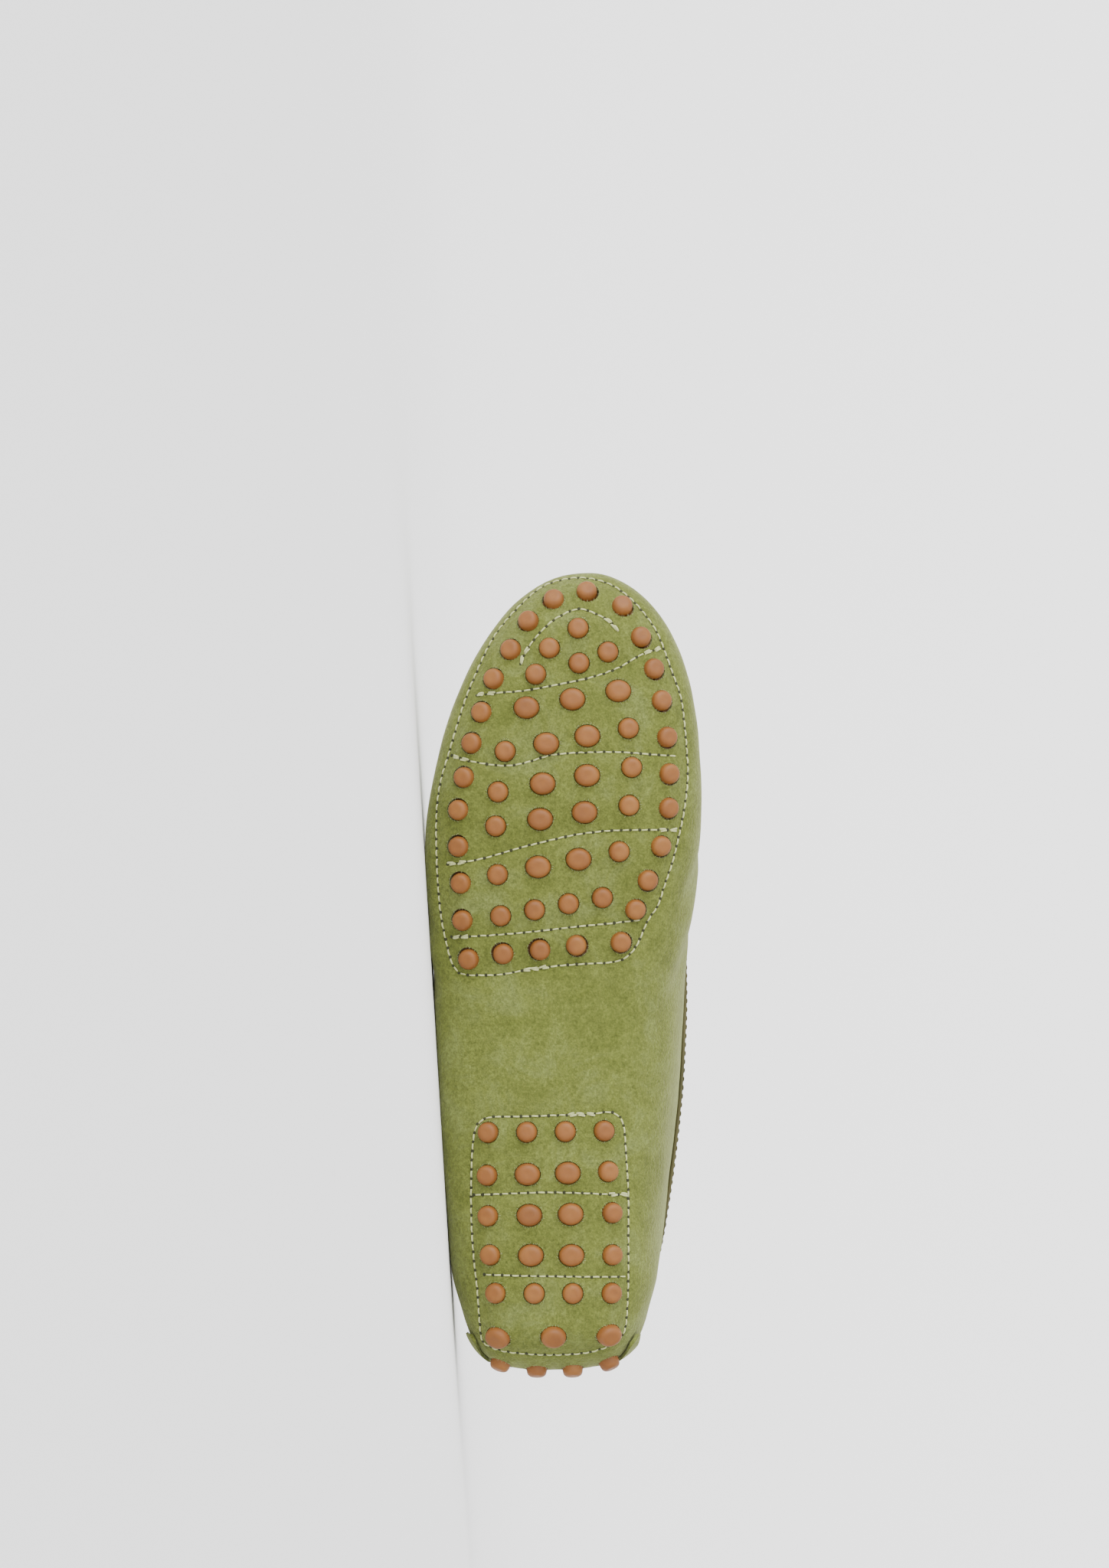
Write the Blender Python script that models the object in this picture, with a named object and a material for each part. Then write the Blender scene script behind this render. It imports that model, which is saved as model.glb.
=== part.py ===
"""Driving moccasin, right shoe, empty, lying on its outer side.

It is modelled in the shoe's own frame: x from the back of the heel to the toe, y to the inner side of the
foot, z up from the sole. The last step lays the shoe down: toe to -X, sole facing -Y, inner side up.
"""
import math

import bmesh
import bpy
import numpy as np
from mathutils import Matrix, Vector
from mathutils.bvhtree import BVHTree

MM = 0.001

# Driving dimensions of the shoe
SHOE_LENGTH = 280.0 * MM
BALL_WIDTH = 96.6 * MM
INSTEP_HEIGHT = 70.0 * MM
TOE_SPRING = 9.0 * MM
TOE_TIP_HEIGHT = 21.7 * MM
HEEL_BACK_HEIGHT = 24.0 * MM

# Thicknesses, and the gap that touching pieces keep
SUEDE_WALL = 2.0 * MM
FIT_GAP = 0.4 * MM
PAD_THICKNESS = 1.6 * MM
INSOLE_THICKNESS = 3.0 * MM
APRON_THICKNESS = 1.1 * MM
SEAM_HEIGHT = 2.2 * MM
SEAM_WIDTH = 3.2 * MM
BINDING_THICKNESS = 1.0 * MM
BINDING_WIDTH = 7.0 * MM
BINDING_RISE = 1.2 * MM
COUNTER_THICKNESS = 1.1 * MM

# Rubber pebbles and their holes
PEBBLE_DIAMETER = 7.2 * MM
LARGE_PEBBLE_DIAMETER = 7.7 * MM
LARGE_PEBBLE_OVAL = 1.15
PEBBLE_PROUD = 3.3 * MM
PEBBLE_TAPER = 0.86
HOLE_CLEARANCE = 0.5 * MM
PEBBLE_SIDES = 6
TREAD_INSET = 3.8 * MM
PAD_MARGIN = 1.0 * MM
TREAD_CORNER = 9.0 * MM
TREAD_TOE_REACH = 4.5 * MM
BACK_ROW_HEIGHT = 15.5 * MM

# How far the soft side gives where the shoe lies on it
SIDE_SETTLE = 0.35 * MM

# Fineness of the form: rings along the shoe, and steps in each quarter of a ring
RING_INTERVALS = 25
QUARTER_STEPS = 5
TREAD_STEPS = 180
PAD_STEPS = 56
CORNER_STEPS = 4

# The form of the last, a row for each section. along is a share of the length from the heel. centre and half
# are shares of half the ball width, rise of the toe spring, the two bulges and the crown of the instep height.
# The two square columns are superellipse powers: 2 is round, more is squarer.
SECTION_COLUMNS = ("along", "centre", "half", "rise", "outer_bulge", "inner_bulge", "crown",
                   "sole_square", "crown_square")
SECTIONS = (
    (0.00, -0.075, 0.640, 0.00, 0.343, 0.343, 0.93, 3.2, 2.2),
    (0.05, -0.055, 0.650, 0.00, 0.300, 0.360, 0.97, 3.2, 2.6),
    (0.12, -0.054, 0.750, 0.00, 0.260, 0.420, 1.01, 3.2, 4.0),
    (0.20, -0.048, 0.800, 0.03, 0.250, 0.520, 1.04, 3.2, 5.5),
    (0.28, -0.036, 0.845, 0.14, 0.250, 0.600, 1.05, 3.3, 7.0),
    (0.36, -0.025, 0.880, 0.26, 0.260, 0.640, 1.07, 3.4, 7.0),
    (0.43, -0.023, 0.900, 0.33, 0.260, 0.640, 1.08, 3.5, 6.0),
    (0.50, -0.025, 0.920, 0.28, 0.250, 0.600, 1.07, 3.7, 4.5),
    (0.58, -0.017, 0.970, 0.14, 0.230, 0.480, 1.03, 4.0, 3.3),
    (0.66, 0.000, 1.000, 0.03, 0.220, 0.360, 0.92, 4.2, 2.7),
    (0.74, 0.030, 1.000, 0.02, 0.220, 0.300, 0.77, 4.2, 2.5),
    (0.82, 0.070, 1.000, 0.14, 0.235, 0.280, 0.66, 4.0, 2.5),
    (0.90, 0.115, 1.000, 0.44, 0.265, 0.285, 0.59, 3.6, 2.5),
    (1.00, 0.160, 1.000, 1.00, 0.310, 0.310, 0.52, 3.0, 2.3),
)
HEIGHT_POWER = 2.2

# How the form closes at its ends: reach as a share of the length, and how square the rounding is
HEEL_PLAN_ROUNDING = (0.070, 2.9)
HEEL_SOLE_ROUNDING = (0.070, 2.0)
HEEL_CROWN_ROUNDING = (0.035, 3.0)
TOE_PLAN_ROUNDING = (0.330, 2.15)
TOE_SOLE_ROUNDING = (0.070, 2.2)
TOE_CROWN_ROUNDING = (0.120, 2.2)

# The collar seen from the side: share of the length, and share of the instep height
COLLAR_COLUMNS = ("along", "height")
COLLAR = (
    (-0.05, 0.88),
    (0.00, 0.86),
    (0.10, 0.80),
    (0.20, 0.735),
    (0.30, 0.715),
    (0.40, 0.74),
    (0.50, 0.82),
    (0.58, 0.93),
    (0.64, 1.06),
    (0.72, 1.30),
)

# Where the tread's tables start on the shoe, and their own length and breadth, as shares of the shoe's
TREAD_START = 0.0093
TREAD_SPAN = 0.9874

# The small pebbles round the edge of the forefoot's tread, from the toe by the inner side: shares of the
# tread's length and of half its breadth
RING_COLUMNS = ("along", "across")
RING = (
    (0.977, 0.173), (0.959, 0.430), (0.920, 0.564), (0.880, 0.659), (0.840, 0.715), (0.794, 0.754),
    (0.748, 0.771), (0.705, 0.765), (0.657, 0.709), (0.614, 0.614), (0.577, 0.525), (0.536, 0.419),
    (0.532, 0.095), (0.526, -0.168), (0.521, -0.436), (0.514, -0.687), (0.563, -0.731), (0.610, -0.743),
    (0.656, -0.759), (0.702, -0.759), (0.743, -0.720), (0.786, -0.664), (0.825, -0.592), (0.867, -0.503),
    (0.904, -0.380), (0.940, -0.251), (0.967, -0.067),
)

# The rows of pebbles inside the ring, and those under the heel. The two along columns are shares of the tread's
# length at the row's outer and inner end, the two across columns shares of half its breadth. large_from and
# large_to give the large pebbles in the row, counted from 0.
ROW_COLUMNS = ("along_outer", "along_inner", "across_outer", "across_inner", "count", "large_from", "large_to")
FOREFOOT_ROWS = (
    (0.931, 0.931, 0.110, 0.110, 1, 9, 0),
    (0.906, 0.901, -0.100, 0.327, 2, 9, 0),
    (0.873, 0.887, -0.200, 0.116, 2, 9, 0),
    (0.831, 0.852, -0.267, 0.402, 3, 0, 2),
    (0.776, 0.805, -0.422, 0.476, 4, 1, 2),
    (0.725, 0.756, -0.474, 0.499, 4, 1, 2),
    (0.682, 0.708, -0.491, 0.480, 4, 1, 2),
    (0.621, 0.650, -0.478, 0.408, 4, 1, 2),
    (0.569, 0.592, -0.455, 0.286, 4, 9, 0),
)
HEEL_ROWS = (
    (0.296, 0.298, -0.547, 0.298, 4, 9, 0),
    (0.242, 0.247, -0.553, 0.327, 4, 1, 2),
    (0.191, 0.195, -0.547, 0.356, 4, 1, 2),
    (0.142, 0.142, -0.530, 0.356, 4, 1, 2),
    (0.094, 0.094, -0.491, 0.350, 4, 9, 0),
    (0.038, 0.041, -0.474, 0.333, 3, 0, 2),
)
# The row on the back of the heel: across columns as above, then how many
BACK_ROW = (-0.455, 0.333, 4)

# Where the pads lie, as shares of the length and of half the ball width
FOREFOOT_REAR_OUTER = 0.473
FOREFOOT_REAR_INNER = 0.493
WAIST_TAPER_START = 0.70
WAIST_TAPER = 15.0 * MM
WAIST_TAPER_POWER = 1.25
HEEL_PAD_FRONT = 0.318
HEEL_PAD_OUTER = -0.66
HEEL_PAD_INNER = 0.475
HEEL_PAD_BACK = 4.5 * MM
HEEL_PAD_CORNER = 7.0 * MM
BACK_PAD_LOW = 11.5 * MM
BACK_PAD_HIGH = 27.0 * MM
BACK_PAD_LOW_HALF = 24.5 * MM
BACK_PAD_HIGH_HALF = 18.5 * MM
# How high the forefoot's pad turns up round the foot, as a share of the instep height
PAD_LIP = 0.18

# The apron's outline: where its tip is, how wide it is, and how it rounds
APRON_TIP = 0.945
APRON_REAR = 0.507
APRON_HALF = 0.65
APRON_LOW = 0.3
APRON_ROUNDING = (0.20, 2.3)

# The heel counter: a patch under the collar with a leg down to each corner of the heel
COUNTER_TOP_HALF = 27.0 * MM
COUNTER_LEG_HALF = 31.0 * MM
COUNTER_LEG_WIDTH = 4.0 * MM
COUNTER_FOOT_HEIGHT = 12.0 * MM
COUNTER_SHOULDER = 42.0 * MM
COUNTER_ARCH_HALF = 18.0 * MM
COUNTER_ARCH_HEIGHT = 41.0 * MM
COUNTER_REACH = 0.048

# Colour, roughness
SUEDE_GREEN = ((0.29, 0.31, 0.10, 1.0), 0.95)
SUEDE_DARK = ((0.12, 0.12, 0.045, 1.0), 0.9)
RUBBER_TAN = ((0.50, 0.22, 0.08, 1.0), 0.6)
INSOLE_TAN = ((0.42, 0.32, 0.18, 1.0), 0.7)

HALF_BALL = BALL_WIDTH / 2
FAR = SHOE_LENGTH


def clear_scene():
    for obj in list(bpy.data.objects):
        bpy.data.objects.remove(obj)


def new_collection(name):
    collection = bpy.data.collections.new(name)
    bpy.context.scene.collection.children.link(collection)
    return collection


def make_material(name, finish):
    colour, roughness = finish
    material = bpy.data.materials.new(name)
    material.use_nodes = True
    shader = material.node_tree.nodes["Principled BSDF"]
    shader.inputs["Base Color"].default_value = colour
    shader.inputs["Roughness"].default_value = roughness
    return material


def object_from(name, bm, collection):
    """Turn a bmesh into an object, and free the bmesh."""
    mesh = bpy.data.meshes.new(name)
    bm.to_mesh(mesh)
    bm.free()
    obj = bpy.data.objects.new(name, mesh)
    collection.objects.link(obj)
    return obj


def combine(target, cutter, operation):
    """Boolean the cutter into the target, and remove the cutter."""
    modifier = target.modifiers.new(operation.lower(), "BOOLEAN")
    modifier.operation = operation
    modifier.solver = "EXACT"
    modifier.object = cutter
    graph = bpy.context.evaluated_depsgraph_get()
    result = bpy.data.meshes.new_from_object(target.evaluated_get(graph))
    target.modifiers.remove(modifier)
    old = target.data
    target.data = result
    bpy.data.meshes.remove(old)
    bpy.data.objects.remove(cutter)


def tangents(places, values):
    """Slopes of a curve through the values that never overshoots between them."""
    slopes = [(values[i + 1] - values[i]) / (places[i + 1] - places[i]) for i in range(len(places) - 1)]
    inner = []
    for before, after in zip(slopes, slopes[1:]):
        turns = before * after <= 0
        inner.append(0.0 if turns else 2 * before * after / (before + after))
    return [slopes[0]] + inner + [slopes[-1]]


def smooth_table(rows, columns):
    """Functions of the first column, one for each other column."""
    places = [row[0] for row in rows]

    def reader(values):
        slopes = tangents(places, values)

        def read(place):
            place = min(max(place, places[0]), places[-1])
            span = next(i for i in range(len(places) - 1) if place <= places[i + 1])
            width = places[span + 1] - places[span]
            t = (place - places[span]) / width
            return ((1 + 2 * t) * (1 - t) ** 2 * values[span] + t * (1 - t) ** 2 * width * slopes[span]
                    + t * t * (3 - 2 * t) * values[span + 1] + t * t * (t - 1) * width * slopes[span + 1])
        return read
    return {name: reader([row[i] for row in rows]) for i, name in enumerate(columns) if i > 0}


SECTION = smooth_table(SECTIONS, SECTION_COLUMNS)
COLLAR_LINE = smooth_table(COLLAR, COLLAR_COLUMNS)


def rounding(distance, law):
    """0 at the end of the form, 1 from the law's reach onwards."""
    reach, fullness = law
    if distance >= reach:
        return 1.0
    return (1.0 - (1.0 - distance / reach) ** 2) ** (1.0 / fullness)


def plan_edges(share):
    """The outer and inner edge of the form seen from below."""
    half = HALF_BALL * SECTION["half"](share)
    half *= rounding(share, HEEL_PLAN_ROUNDING) * rounding(1 - share, TOE_PLAN_ROUNDING)
    centre = HALF_BALL * SECTION["centre"](share)
    return centre - half, centre + half


def sole_height(share):
    """Height of the form's underside along its middle, rounded up at both ends."""
    rise = TOE_SPRING * SECTION["rise"](share)
    toe = TOE_TIP_HEIGHT - (TOE_TIP_HEIGHT - rise) * rounding(1 - share, TOE_SOLE_ROUNDING)
    return HEEL_BACK_HEIGHT - (HEEL_BACK_HEIGHT - toe) * rounding(share, HEEL_SOLE_ROUNDING)


def crown_height(share):
    """Height of the form's top along its middle, rounded down at both ends."""
    crown = INSTEP_HEIGHT * SECTION["crown"](share)
    toe = TOE_TIP_HEIGHT + (crown - TOE_TIP_HEIGHT) * rounding(1 - share, TOE_CROWN_ROUNDING)
    return HEEL_BACK_HEIGHT + (toe - HEEL_BACK_HEIGHT) * rounding(share, HEEL_CROWN_ROUNDING)


def bulge_height(share, column):
    """Height at which one side is widest, drawn in to the tips at both ends."""
    low = sole_height(share)
    high = crown_height(share)
    height = INSTEP_HEIGHT * SECTION[column](share)
    return min(max(height, low + 0.12 * (high - low)), high - 0.12 * (high - low))


def section_ring(share):
    """The points round one section, from the outer side under the sole to the inner side and over the top."""
    outer, inner = plan_edges(share)
    middle = HALF_BALL * SECTION["centre"](share)
    low = sole_height(share)
    high = crown_height(share)
    outer_bulge = bulge_height(share, "outer_bulge")
    inner_bulge = bulge_height(share, "inner_bulge")
    sole_power = 2 / SECTION["sole_square"](share)
    crown_power = 2 / SECTION["crown_square"](share)
    height_power = 2 / HEIGHT_POWER
    quarters = (
        (outer, outer_bulge, low, sole_power, False),
        (inner, inner_bulge, low, sole_power, True),
        (inner, inner_bulge, high, crown_power, False),
        (outer, outer_bulge, high, crown_power, True),
    )
    ring = []
    for edge, bulge, end, power, from_middle in quarters:
        for step in range(QUARTER_STEPS):
            angle = math.pi / 2 * step / QUARTER_STEPS
            if from_middle:
                angle = math.pi / 2 - angle
            across = max(math.cos(angle), 0.0) ** power
            up = max(math.sin(angle), 0.0) ** height_power
            ring.append(Vector((share * SHOE_LENGTH, middle + (edge - middle) * across,
                                bulge + (end - bulge) * up)))
    return ring


def form_rings():
    """All rings, closer together at the heel and the toe, and the two tips."""
    shares = [(1 - math.cos(math.pi * i / RING_INTERVALS)) / 2 for i in range(1, RING_INTERVALS)]
    heel_tip = Vector((0, HALF_BALL * SECTION["centre"](0), HEEL_BACK_HEIGHT))
    toe_tip = Vector((SHOE_LENGTH, HALF_BALL * SECTION["centre"](1), TOE_TIP_HEIGHT))
    return [section_ring(share) for share in shares], heel_tip, toe_tip


def skin(rings, heel_tip, toe_tip):
    """A closed skin over the rings. Every layer splits its quads the same way, so that layers stay parallel."""
    bm = bmesh.new()
    rows = [[bm.verts.new(point) for point in ring] for ring in rings]
    heel = bm.verts.new(heel_tip)
    toe = bm.verts.new(toe_tip)
    count = len(rings[0])
    for i in range(count):
        j = (i + 1) % count
        bm.faces.new((heel, rows[0][i], rows[0][j]))
        bm.faces.new((toe, rows[-1][j], rows[-1][i]))
        for near, far in zip(rows, rows[1:]):
            bm.faces.new((near[i], far[i], far[j], near[j]))
    bmesh.ops.recalc_face_normals(bm, faces=bm.faces)
    bmesh.ops.triangulate(bm, faces=bm.faces, quad_method="FIXED")
    return bm


def measure_form():
    """The form's rings with the outward direction at each point, stretched so that walls keep their depth."""
    rings, heel_tip, toe_tip = form_rings()
    bm = skin(rings, heel_tip, toe_tip)
    bm.normal_update()
    bm.verts.ensure_lookup_table()
    outward = [vert.normal * vert.calc_shell_factor() for vert in bm.verts]
    bm.free()
    return rings, heel_tip, toe_tip, outward


FORM = measure_form()


def form_bmesh(depth, stride=1, inside_out=False):
    """The form's skin, moved in by depth. A stride of 2 leaves out every other ring and point."""
    rings, heel_tip, toe_tip, outward = FORM
    count = len(rings[0])
    moved = []
    for r, ring in enumerate(rings):
        moved.append([point - outward[r * count + i] * depth for i, point in enumerate(ring)])
    moved_heel = heel_tip - outward[len(rings) * count] * depth
    moved_toe = toe_tip - outward[len(rings) * count + 1] * depth
    kept = [ring[::stride] for ring in moved[stride - 1::stride]]
    bm = skin(kept, moved_heel, moved_toe)
    if inside_out:
        bmesh.ops.reverse_faces(bm, faces=bm.faces)
    return bm


def layer(name, outer_depth, inner_depth, collection):
    """A hollow form whose wall lies between two depths under the outside of the shoe."""
    bm = form_bmesh(outer_depth)
    hollow = form_bmesh(inner_depth, inside_out=True)
    mesh = bpy.data.meshes.new("hollow")
    hollow.to_mesh(mesh)
    hollow.free()
    bm.from_mesh(mesh)
    bpy.data.meshes.remove(mesh)
    return object_from(name, bm, collection)


def prism(outline, axis, low, high, collection):
    """A block with the outline, given as pairs of the two other coordinates, between two places on the axis."""
    bm = bmesh.new()
    verts = []
    for first, second in outline:
        point = [first, second]
        point.insert(axis, low)
        verts.append(bm.verts.new(point))
    face = bm.faces.new(verts)
    swept = bmesh.ops.extrude_face_region(bm, geom=[face])
    shift = [0.0, 0.0, 0.0]
    shift[axis] = high - low
    moved = [item for item in swept["geom"] if isinstance(item, bmesh.types.BMVert)]
    bmesh.ops.translate(bm, vec=shift, verts=moved)
    bmesh.ops.recalc_face_normals(bm, faces=bm.faces)
    block = object_from("block", bm, collection)
    block.display_type = "WIRE"
    block.hide_render = True
    return block


def collar_points(drop):
    """The collar line seen from the side, lowered by drop."""
    start, end = COLLAR[0][0], COLLAR[-1][0]
    count = 16
    shares = [start + (end - start) * i / count for i in range(count + 1)]
    return [(share * SHOE_LENGTH, COLLAR_LINE["height"](share) * INSTEP_HEIGHT - drop) for share in shares]


def above_collar(drop, collection):
    """All that lies above the collar line lowered by drop."""
    points = collar_points(drop)
    outline = points + [(points[-1][0], FAR), (points[0][0], FAR)]
    return prism(outline, 1, -FAR, FAR, collection)


def even_steps(outline, count):
    """Points evenly spaced along a closed outline, from its first point."""
    closed = np.array(list(outline) + [outline[0]])
    lengths = np.hypot(*np.diff(closed, axis=0).T)
    travelled = np.concatenate(([0.0], np.cumsum(lengths)))
    places = travelled[-1] * np.arange(count) / count
    return np.column_stack([np.interp(places, travelled, closed[:, i]) for i in (0, 1)])


def inset_outline(outline, depth):
    """A closed outline, counter-clockwise, moved in by depth."""
    along = np.roll(outline, -1, axis=0) - np.roll(outline, 1, axis=0)
    along /= np.hypot(along[:, 0], along[:, 1])[:, None]
    inward = np.column_stack((-along[:, 1], along[:, 0]))
    return outline + inward * depth


def soften(outline, reach):
    """Round an evenly stepped closed outline: each point becomes the mean of those within about reach."""
    step = float(np.mean(np.hypot(*(np.roll(outline, -1, axis=0) - outline).T)))
    passes = round(2 * (reach / step) ** 2)
    for _ in range(passes):
        outline = (np.roll(outline, 1, axis=0) + 2 * outline + np.roll(outline, -1, axis=0)) / 4
    return outline


def forefoot_outline(depth):
    """The forefoot tread's outline, counter-clockwise from the toe's tip, moved in by depth."""
    steps = TREAD_STEPS // 3
    outer = []
    inner = []
    for i in range(steps + 1):
        turn = math.pi / 2 * i / steps
        outer_share = FOREFOOT_REAR_OUTER + (1 - FOREFOOT_REAR_OUTER) * math.sin(turn)
        inner_share = FOREFOOT_REAR_INNER + (1 - FOREFOOT_REAR_INNER) * math.sin(turn)
        waist = max(WAIST_TAPER_START - inner_share, 0) / (WAIST_TAPER_START - FOREFOOT_REAR_INNER)
        taper = WAIST_TAPER * waist ** WAIST_TAPER_POWER
        outer.append((outer_share * SHOE_LENGTH, plan_edges(outer_share)[0]))
        inner.append((inner_share * SHOE_LENGTH, plan_edges(inner_share)[1] - taper))
    even = even_steps(inner[::-1] + outer[:-1], TREAD_STEPS)
    if signed_area(even) < 0:
        even = np.roll(even[::-1], 1, axis=0)
    tread = soften(inset_outline(even, TREAD_INSET), TREAD_CORNER)
    ball = WAIST_TAPER_START * SHOE_LENGTH
    forward = np.maximum(tread[:, 0] - ball, 0) / (tread[:, 0].max() - ball)
    tread[:, 0] += TREAD_TOE_REACH * forward ** 2
    return inset_outline(tread, depth)


def signed_area(outline):
    following = np.roll(outline, -1, axis=0)
    return 0.5 * float(np.sum(outline[:, 0] * following[:, 1] - outline[:, 1] * following[:, 0]))


def tread_place(along, across):
    """The place of a table's shares, seen from below."""
    return (TREAD_START + TREAD_SPAN * along) * SHOE_LENGTH, TREAD_SPAN * across * HALF_BALL


def row_spots(rows):
    """Where the pebbles of a table's rows stand, seen from below, and which of them are large."""
    spots = []
    for values in rows:
        row = dict(zip(ROW_COLUMNS, values))
        for i in range(row["count"]):
            t = i / (row["count"] - 1) if row["count"] > 1 else 0.0
            along = row["along_outer"] + (row["along_inner"] - row["along_outer"]) * t
            across = row["across_outer"] + (row["across_inner"] - row["across_outer"]) * t
            large = row["large_from"] <= i <= row["large_to"]
            spots.append((*tread_place(along, across), large))
    return spots


def ring_spots():
    """The ring of small pebbles round the forefoot's edge."""
    places = [dict(zip(RING_COLUMNS, values)) for values in RING]
    return [(*tread_place(place["along"], place["across"]), False) for place in places]


def back_spots():
    across_outer, across_inner, count = BACK_ROW
    return [tread_place(0.0, across_outer + (across_inner - across_outer) * i / (count - 1))[1]
            for i in range(count)]


def surface_seat(tree, start, direction):
    """Where a ray meets the outside of the shoe, and the outward direction there, averaged nearby."""
    reach = 3.0 * MM
    side = direction.orthogonal().normalized()
    other = direction.cross(side)
    seat = tree.ray_cast(start, direction)[0]
    total = Vector((0, 0, 0))
    for offset in (Vector((0, 0, 0)), side * reach, side * -reach, other * reach, other * -reach):
        normal = tree.ray_cast(start + offset, direction)[1]
        if normal is not None:
            total += normal
    return seat, total.normalized()


def find_seats():
    """Every pebble's seat: which pad it is on, its place, its outward direction, and whether it is large."""
    bm = form_bmesh(0.0)
    tree = BVHTree.FromBMesh(bm)
    bm.free()
    seats = []
    for pad, spots in (("forefoot", ring_spots() + row_spots(FOREFOOT_ROWS)), ("heel", row_spots(HEEL_ROWS))):
        for x, y, large in spots:
            place, outward = surface_seat(tree, Vector((x, y, -FAR)), Vector((0, 0, 1)))
            seats.append((pad, place, outward, large))
    for y in back_spots():
        place, outward = surface_seat(tree, Vector((-FAR, y, BACK_ROW_HEIGHT)), Vector((1, 0, 0)))
        seats.append(("back", place, outward, False))
    return seats


def studs(seats, from_depth, proud, clearance, tip_share, collection):
    """Round studs on the seats, joined in one object, from a depth in the shoe to proud outside it."""
    bm = bmesh.new()
    for _, place, outward, large in seats:
        radius = (LARGE_PEBBLE_DIAMETER if large else PEBBLE_DIAMETER) / 2 + clearance
        oval = LARGE_PEBBLE_OVAL if large else 1.0
        turn = outward.to_track_quat("Z", "X").to_matrix().to_4x4()
        middle = place + outward * (proud - from_depth) / 2
        shape = Matrix.Translation(middle) @ turn @ Matrix.Diagonal((oval, 1, 1, 1)) \
            @ Matrix.Rotation(math.pi / PEBBLE_SIDES, 4, "Z")
        bmesh.ops.create_cone(bm, cap_ends=True, segments=PEBBLE_SIDES, radius1=radius,
                              radius2=radius * tip_share, depth=proud + from_depth, matrix=shape)
    return object_from("studs", bm, collection)


def make_upper(seats, parts, cutters):
    upper = layer("upper", 0.0, SUEDE_WALL, parts)
    combine(upper, above_collar(0.0, cutters), "DIFFERENCE")
    reach = SUEDE_WALL * 2
    combine(upper, studs(seats, reach, reach, HOLE_CLEARANCE, 1.0, cutters), "DIFFERENCE")
    return upper


def pad_layer(name, outline, axis, low, high, parts, cutters):
    outer_depth = SUEDE_WALL + FIT_GAP
    pad = layer(name, outer_depth, outer_depth + PAD_THICKNESS, parts)
    combine(pad, prism(outline, axis, low, high, cutters), "INTERSECT")
    return pad


def heel_outline():
    """The heel pad's outline: straight sides, rounded corners."""
    front = HEEL_PAD_FRONT * SHOE_LENGTH - HEEL_PAD_CORNER
    back = HEEL_PAD_BACK + HEEL_PAD_CORNER
    outer = HEEL_PAD_OUTER * HALF_BALL + HEEL_PAD_CORNER
    inner = HEEL_PAD_INNER * HALF_BALL - HEEL_PAD_CORNER
    points = []
    for quarter, (x, y) in enumerate(((front, inner), (back, inner), (back, outer), (front, outer))):
        for i in range(CORNER_STEPS + 1):
            angle = math.pi / 2 * (quarter + i / CORNER_STEPS)
            points.append((x + HEEL_PAD_CORNER * math.cos(angle), y + HEEL_PAD_CORNER * math.sin(angle)))
    return points


def back_outline():
    """The back pad's outline, as pairs of across and up, narrower at the top."""
    middle = HALF_BALL * SECTION["centre"](0)
    points = [(middle - BACK_PAD_LOW_HALF, BACK_PAD_LOW)]
    rise = BACK_PAD_HIGH - BACK_PAD_LOW
    for i in range(9):
        angle = math.pi * (1 - i / 8)
        points.append((middle + BACK_PAD_HIGH_HALF * math.cos(angle) * (1 + 0.2 * (1 - math.sin(angle))),
                       BACK_PAD_LOW + rise * (0.5 + 0.5 * math.sin(angle))))
    points.append((middle + BACK_PAD_LOW_HALF, BACK_PAD_LOW))
    return points


def make_pads(seats, parts, cutters):
    outline = even_steps(forefoot_outline(PAD_MARGIN), PAD_STEPS)
    forefoot = pad_layer("forefoot_pad", outline, 2, -FAR, PAD_LIP * INSTEP_HEIGHT, parts, cutters)
    heel = pad_layer("heel_pad", heel_outline(), 2, -FAR, BACK_PAD_LOW - 2 * FIT_GAP, parts, cutters)
    back = pad_layer("heel_back_pad", back_outline(), 0, -FAR, SHOE_LENGTH / 4, parts, cutters)
    pads = {"forefoot": forefoot, "heel": heel, "back": back}
    depth = SUEDE_WALL + FIT_GAP + PAD_THICKNESS / 2
    for name, pad in pads.items():
        own = [seat for seat in seats if seat[0] == name]
        combine(pad, studs(own, depth, PEBBLE_PROUD, 0.0, PEBBLE_TAPER, cutters), "UNION")
    return list(pads.values())


def make_insole(parts, cutters):
    depth = SUEDE_WALL + FIT_GAP + PAD_THICKNESS + FIT_GAP
    insole = object_from("insole", form_bmesh(depth, stride=2), parts)
    shares = [i / 24 for i in range(25)]
    top = [(share * SHOE_LENGTH, TOE_SPRING * SECTION["rise"](share) + depth + INSOLE_THICKNESS)
           for share in shares]
    outline = top + [(SHOE_LENGTH, -FAR), (0.0, -FAR)]
    combine(insole, prism(outline, 1, -FAR, FAR, cutters), "INTERSECT")
    return insole


def apron_edge(margin):
    """The apron's edge seen from above, from the outer rear corner round the tip, moved in by margin."""
    steps = 16
    points = []
    tip = APRON_TIP - margin / SHOE_LENGTH
    for side in (-1, 1):
        half_edge = []
        for i in range(steps + 1):
            share = APRON_REAR + (tip - APRON_REAR) * math.sin(math.pi / 2 * i / steps)
            half = APRON_HALF * HALF_BALL * rounding(tip - share, APRON_ROUNDING)
            scale = 1 - margin / (APRON_HALF * HALF_BALL)
            centre = SECTION["centre"](share) * HALF_BALL
            half_edge.append((share * SHOE_LENGTH, centre + side * half * scale))
        points += half_edge if side < 0 else half_edge[-2::-1]
    return points


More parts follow.
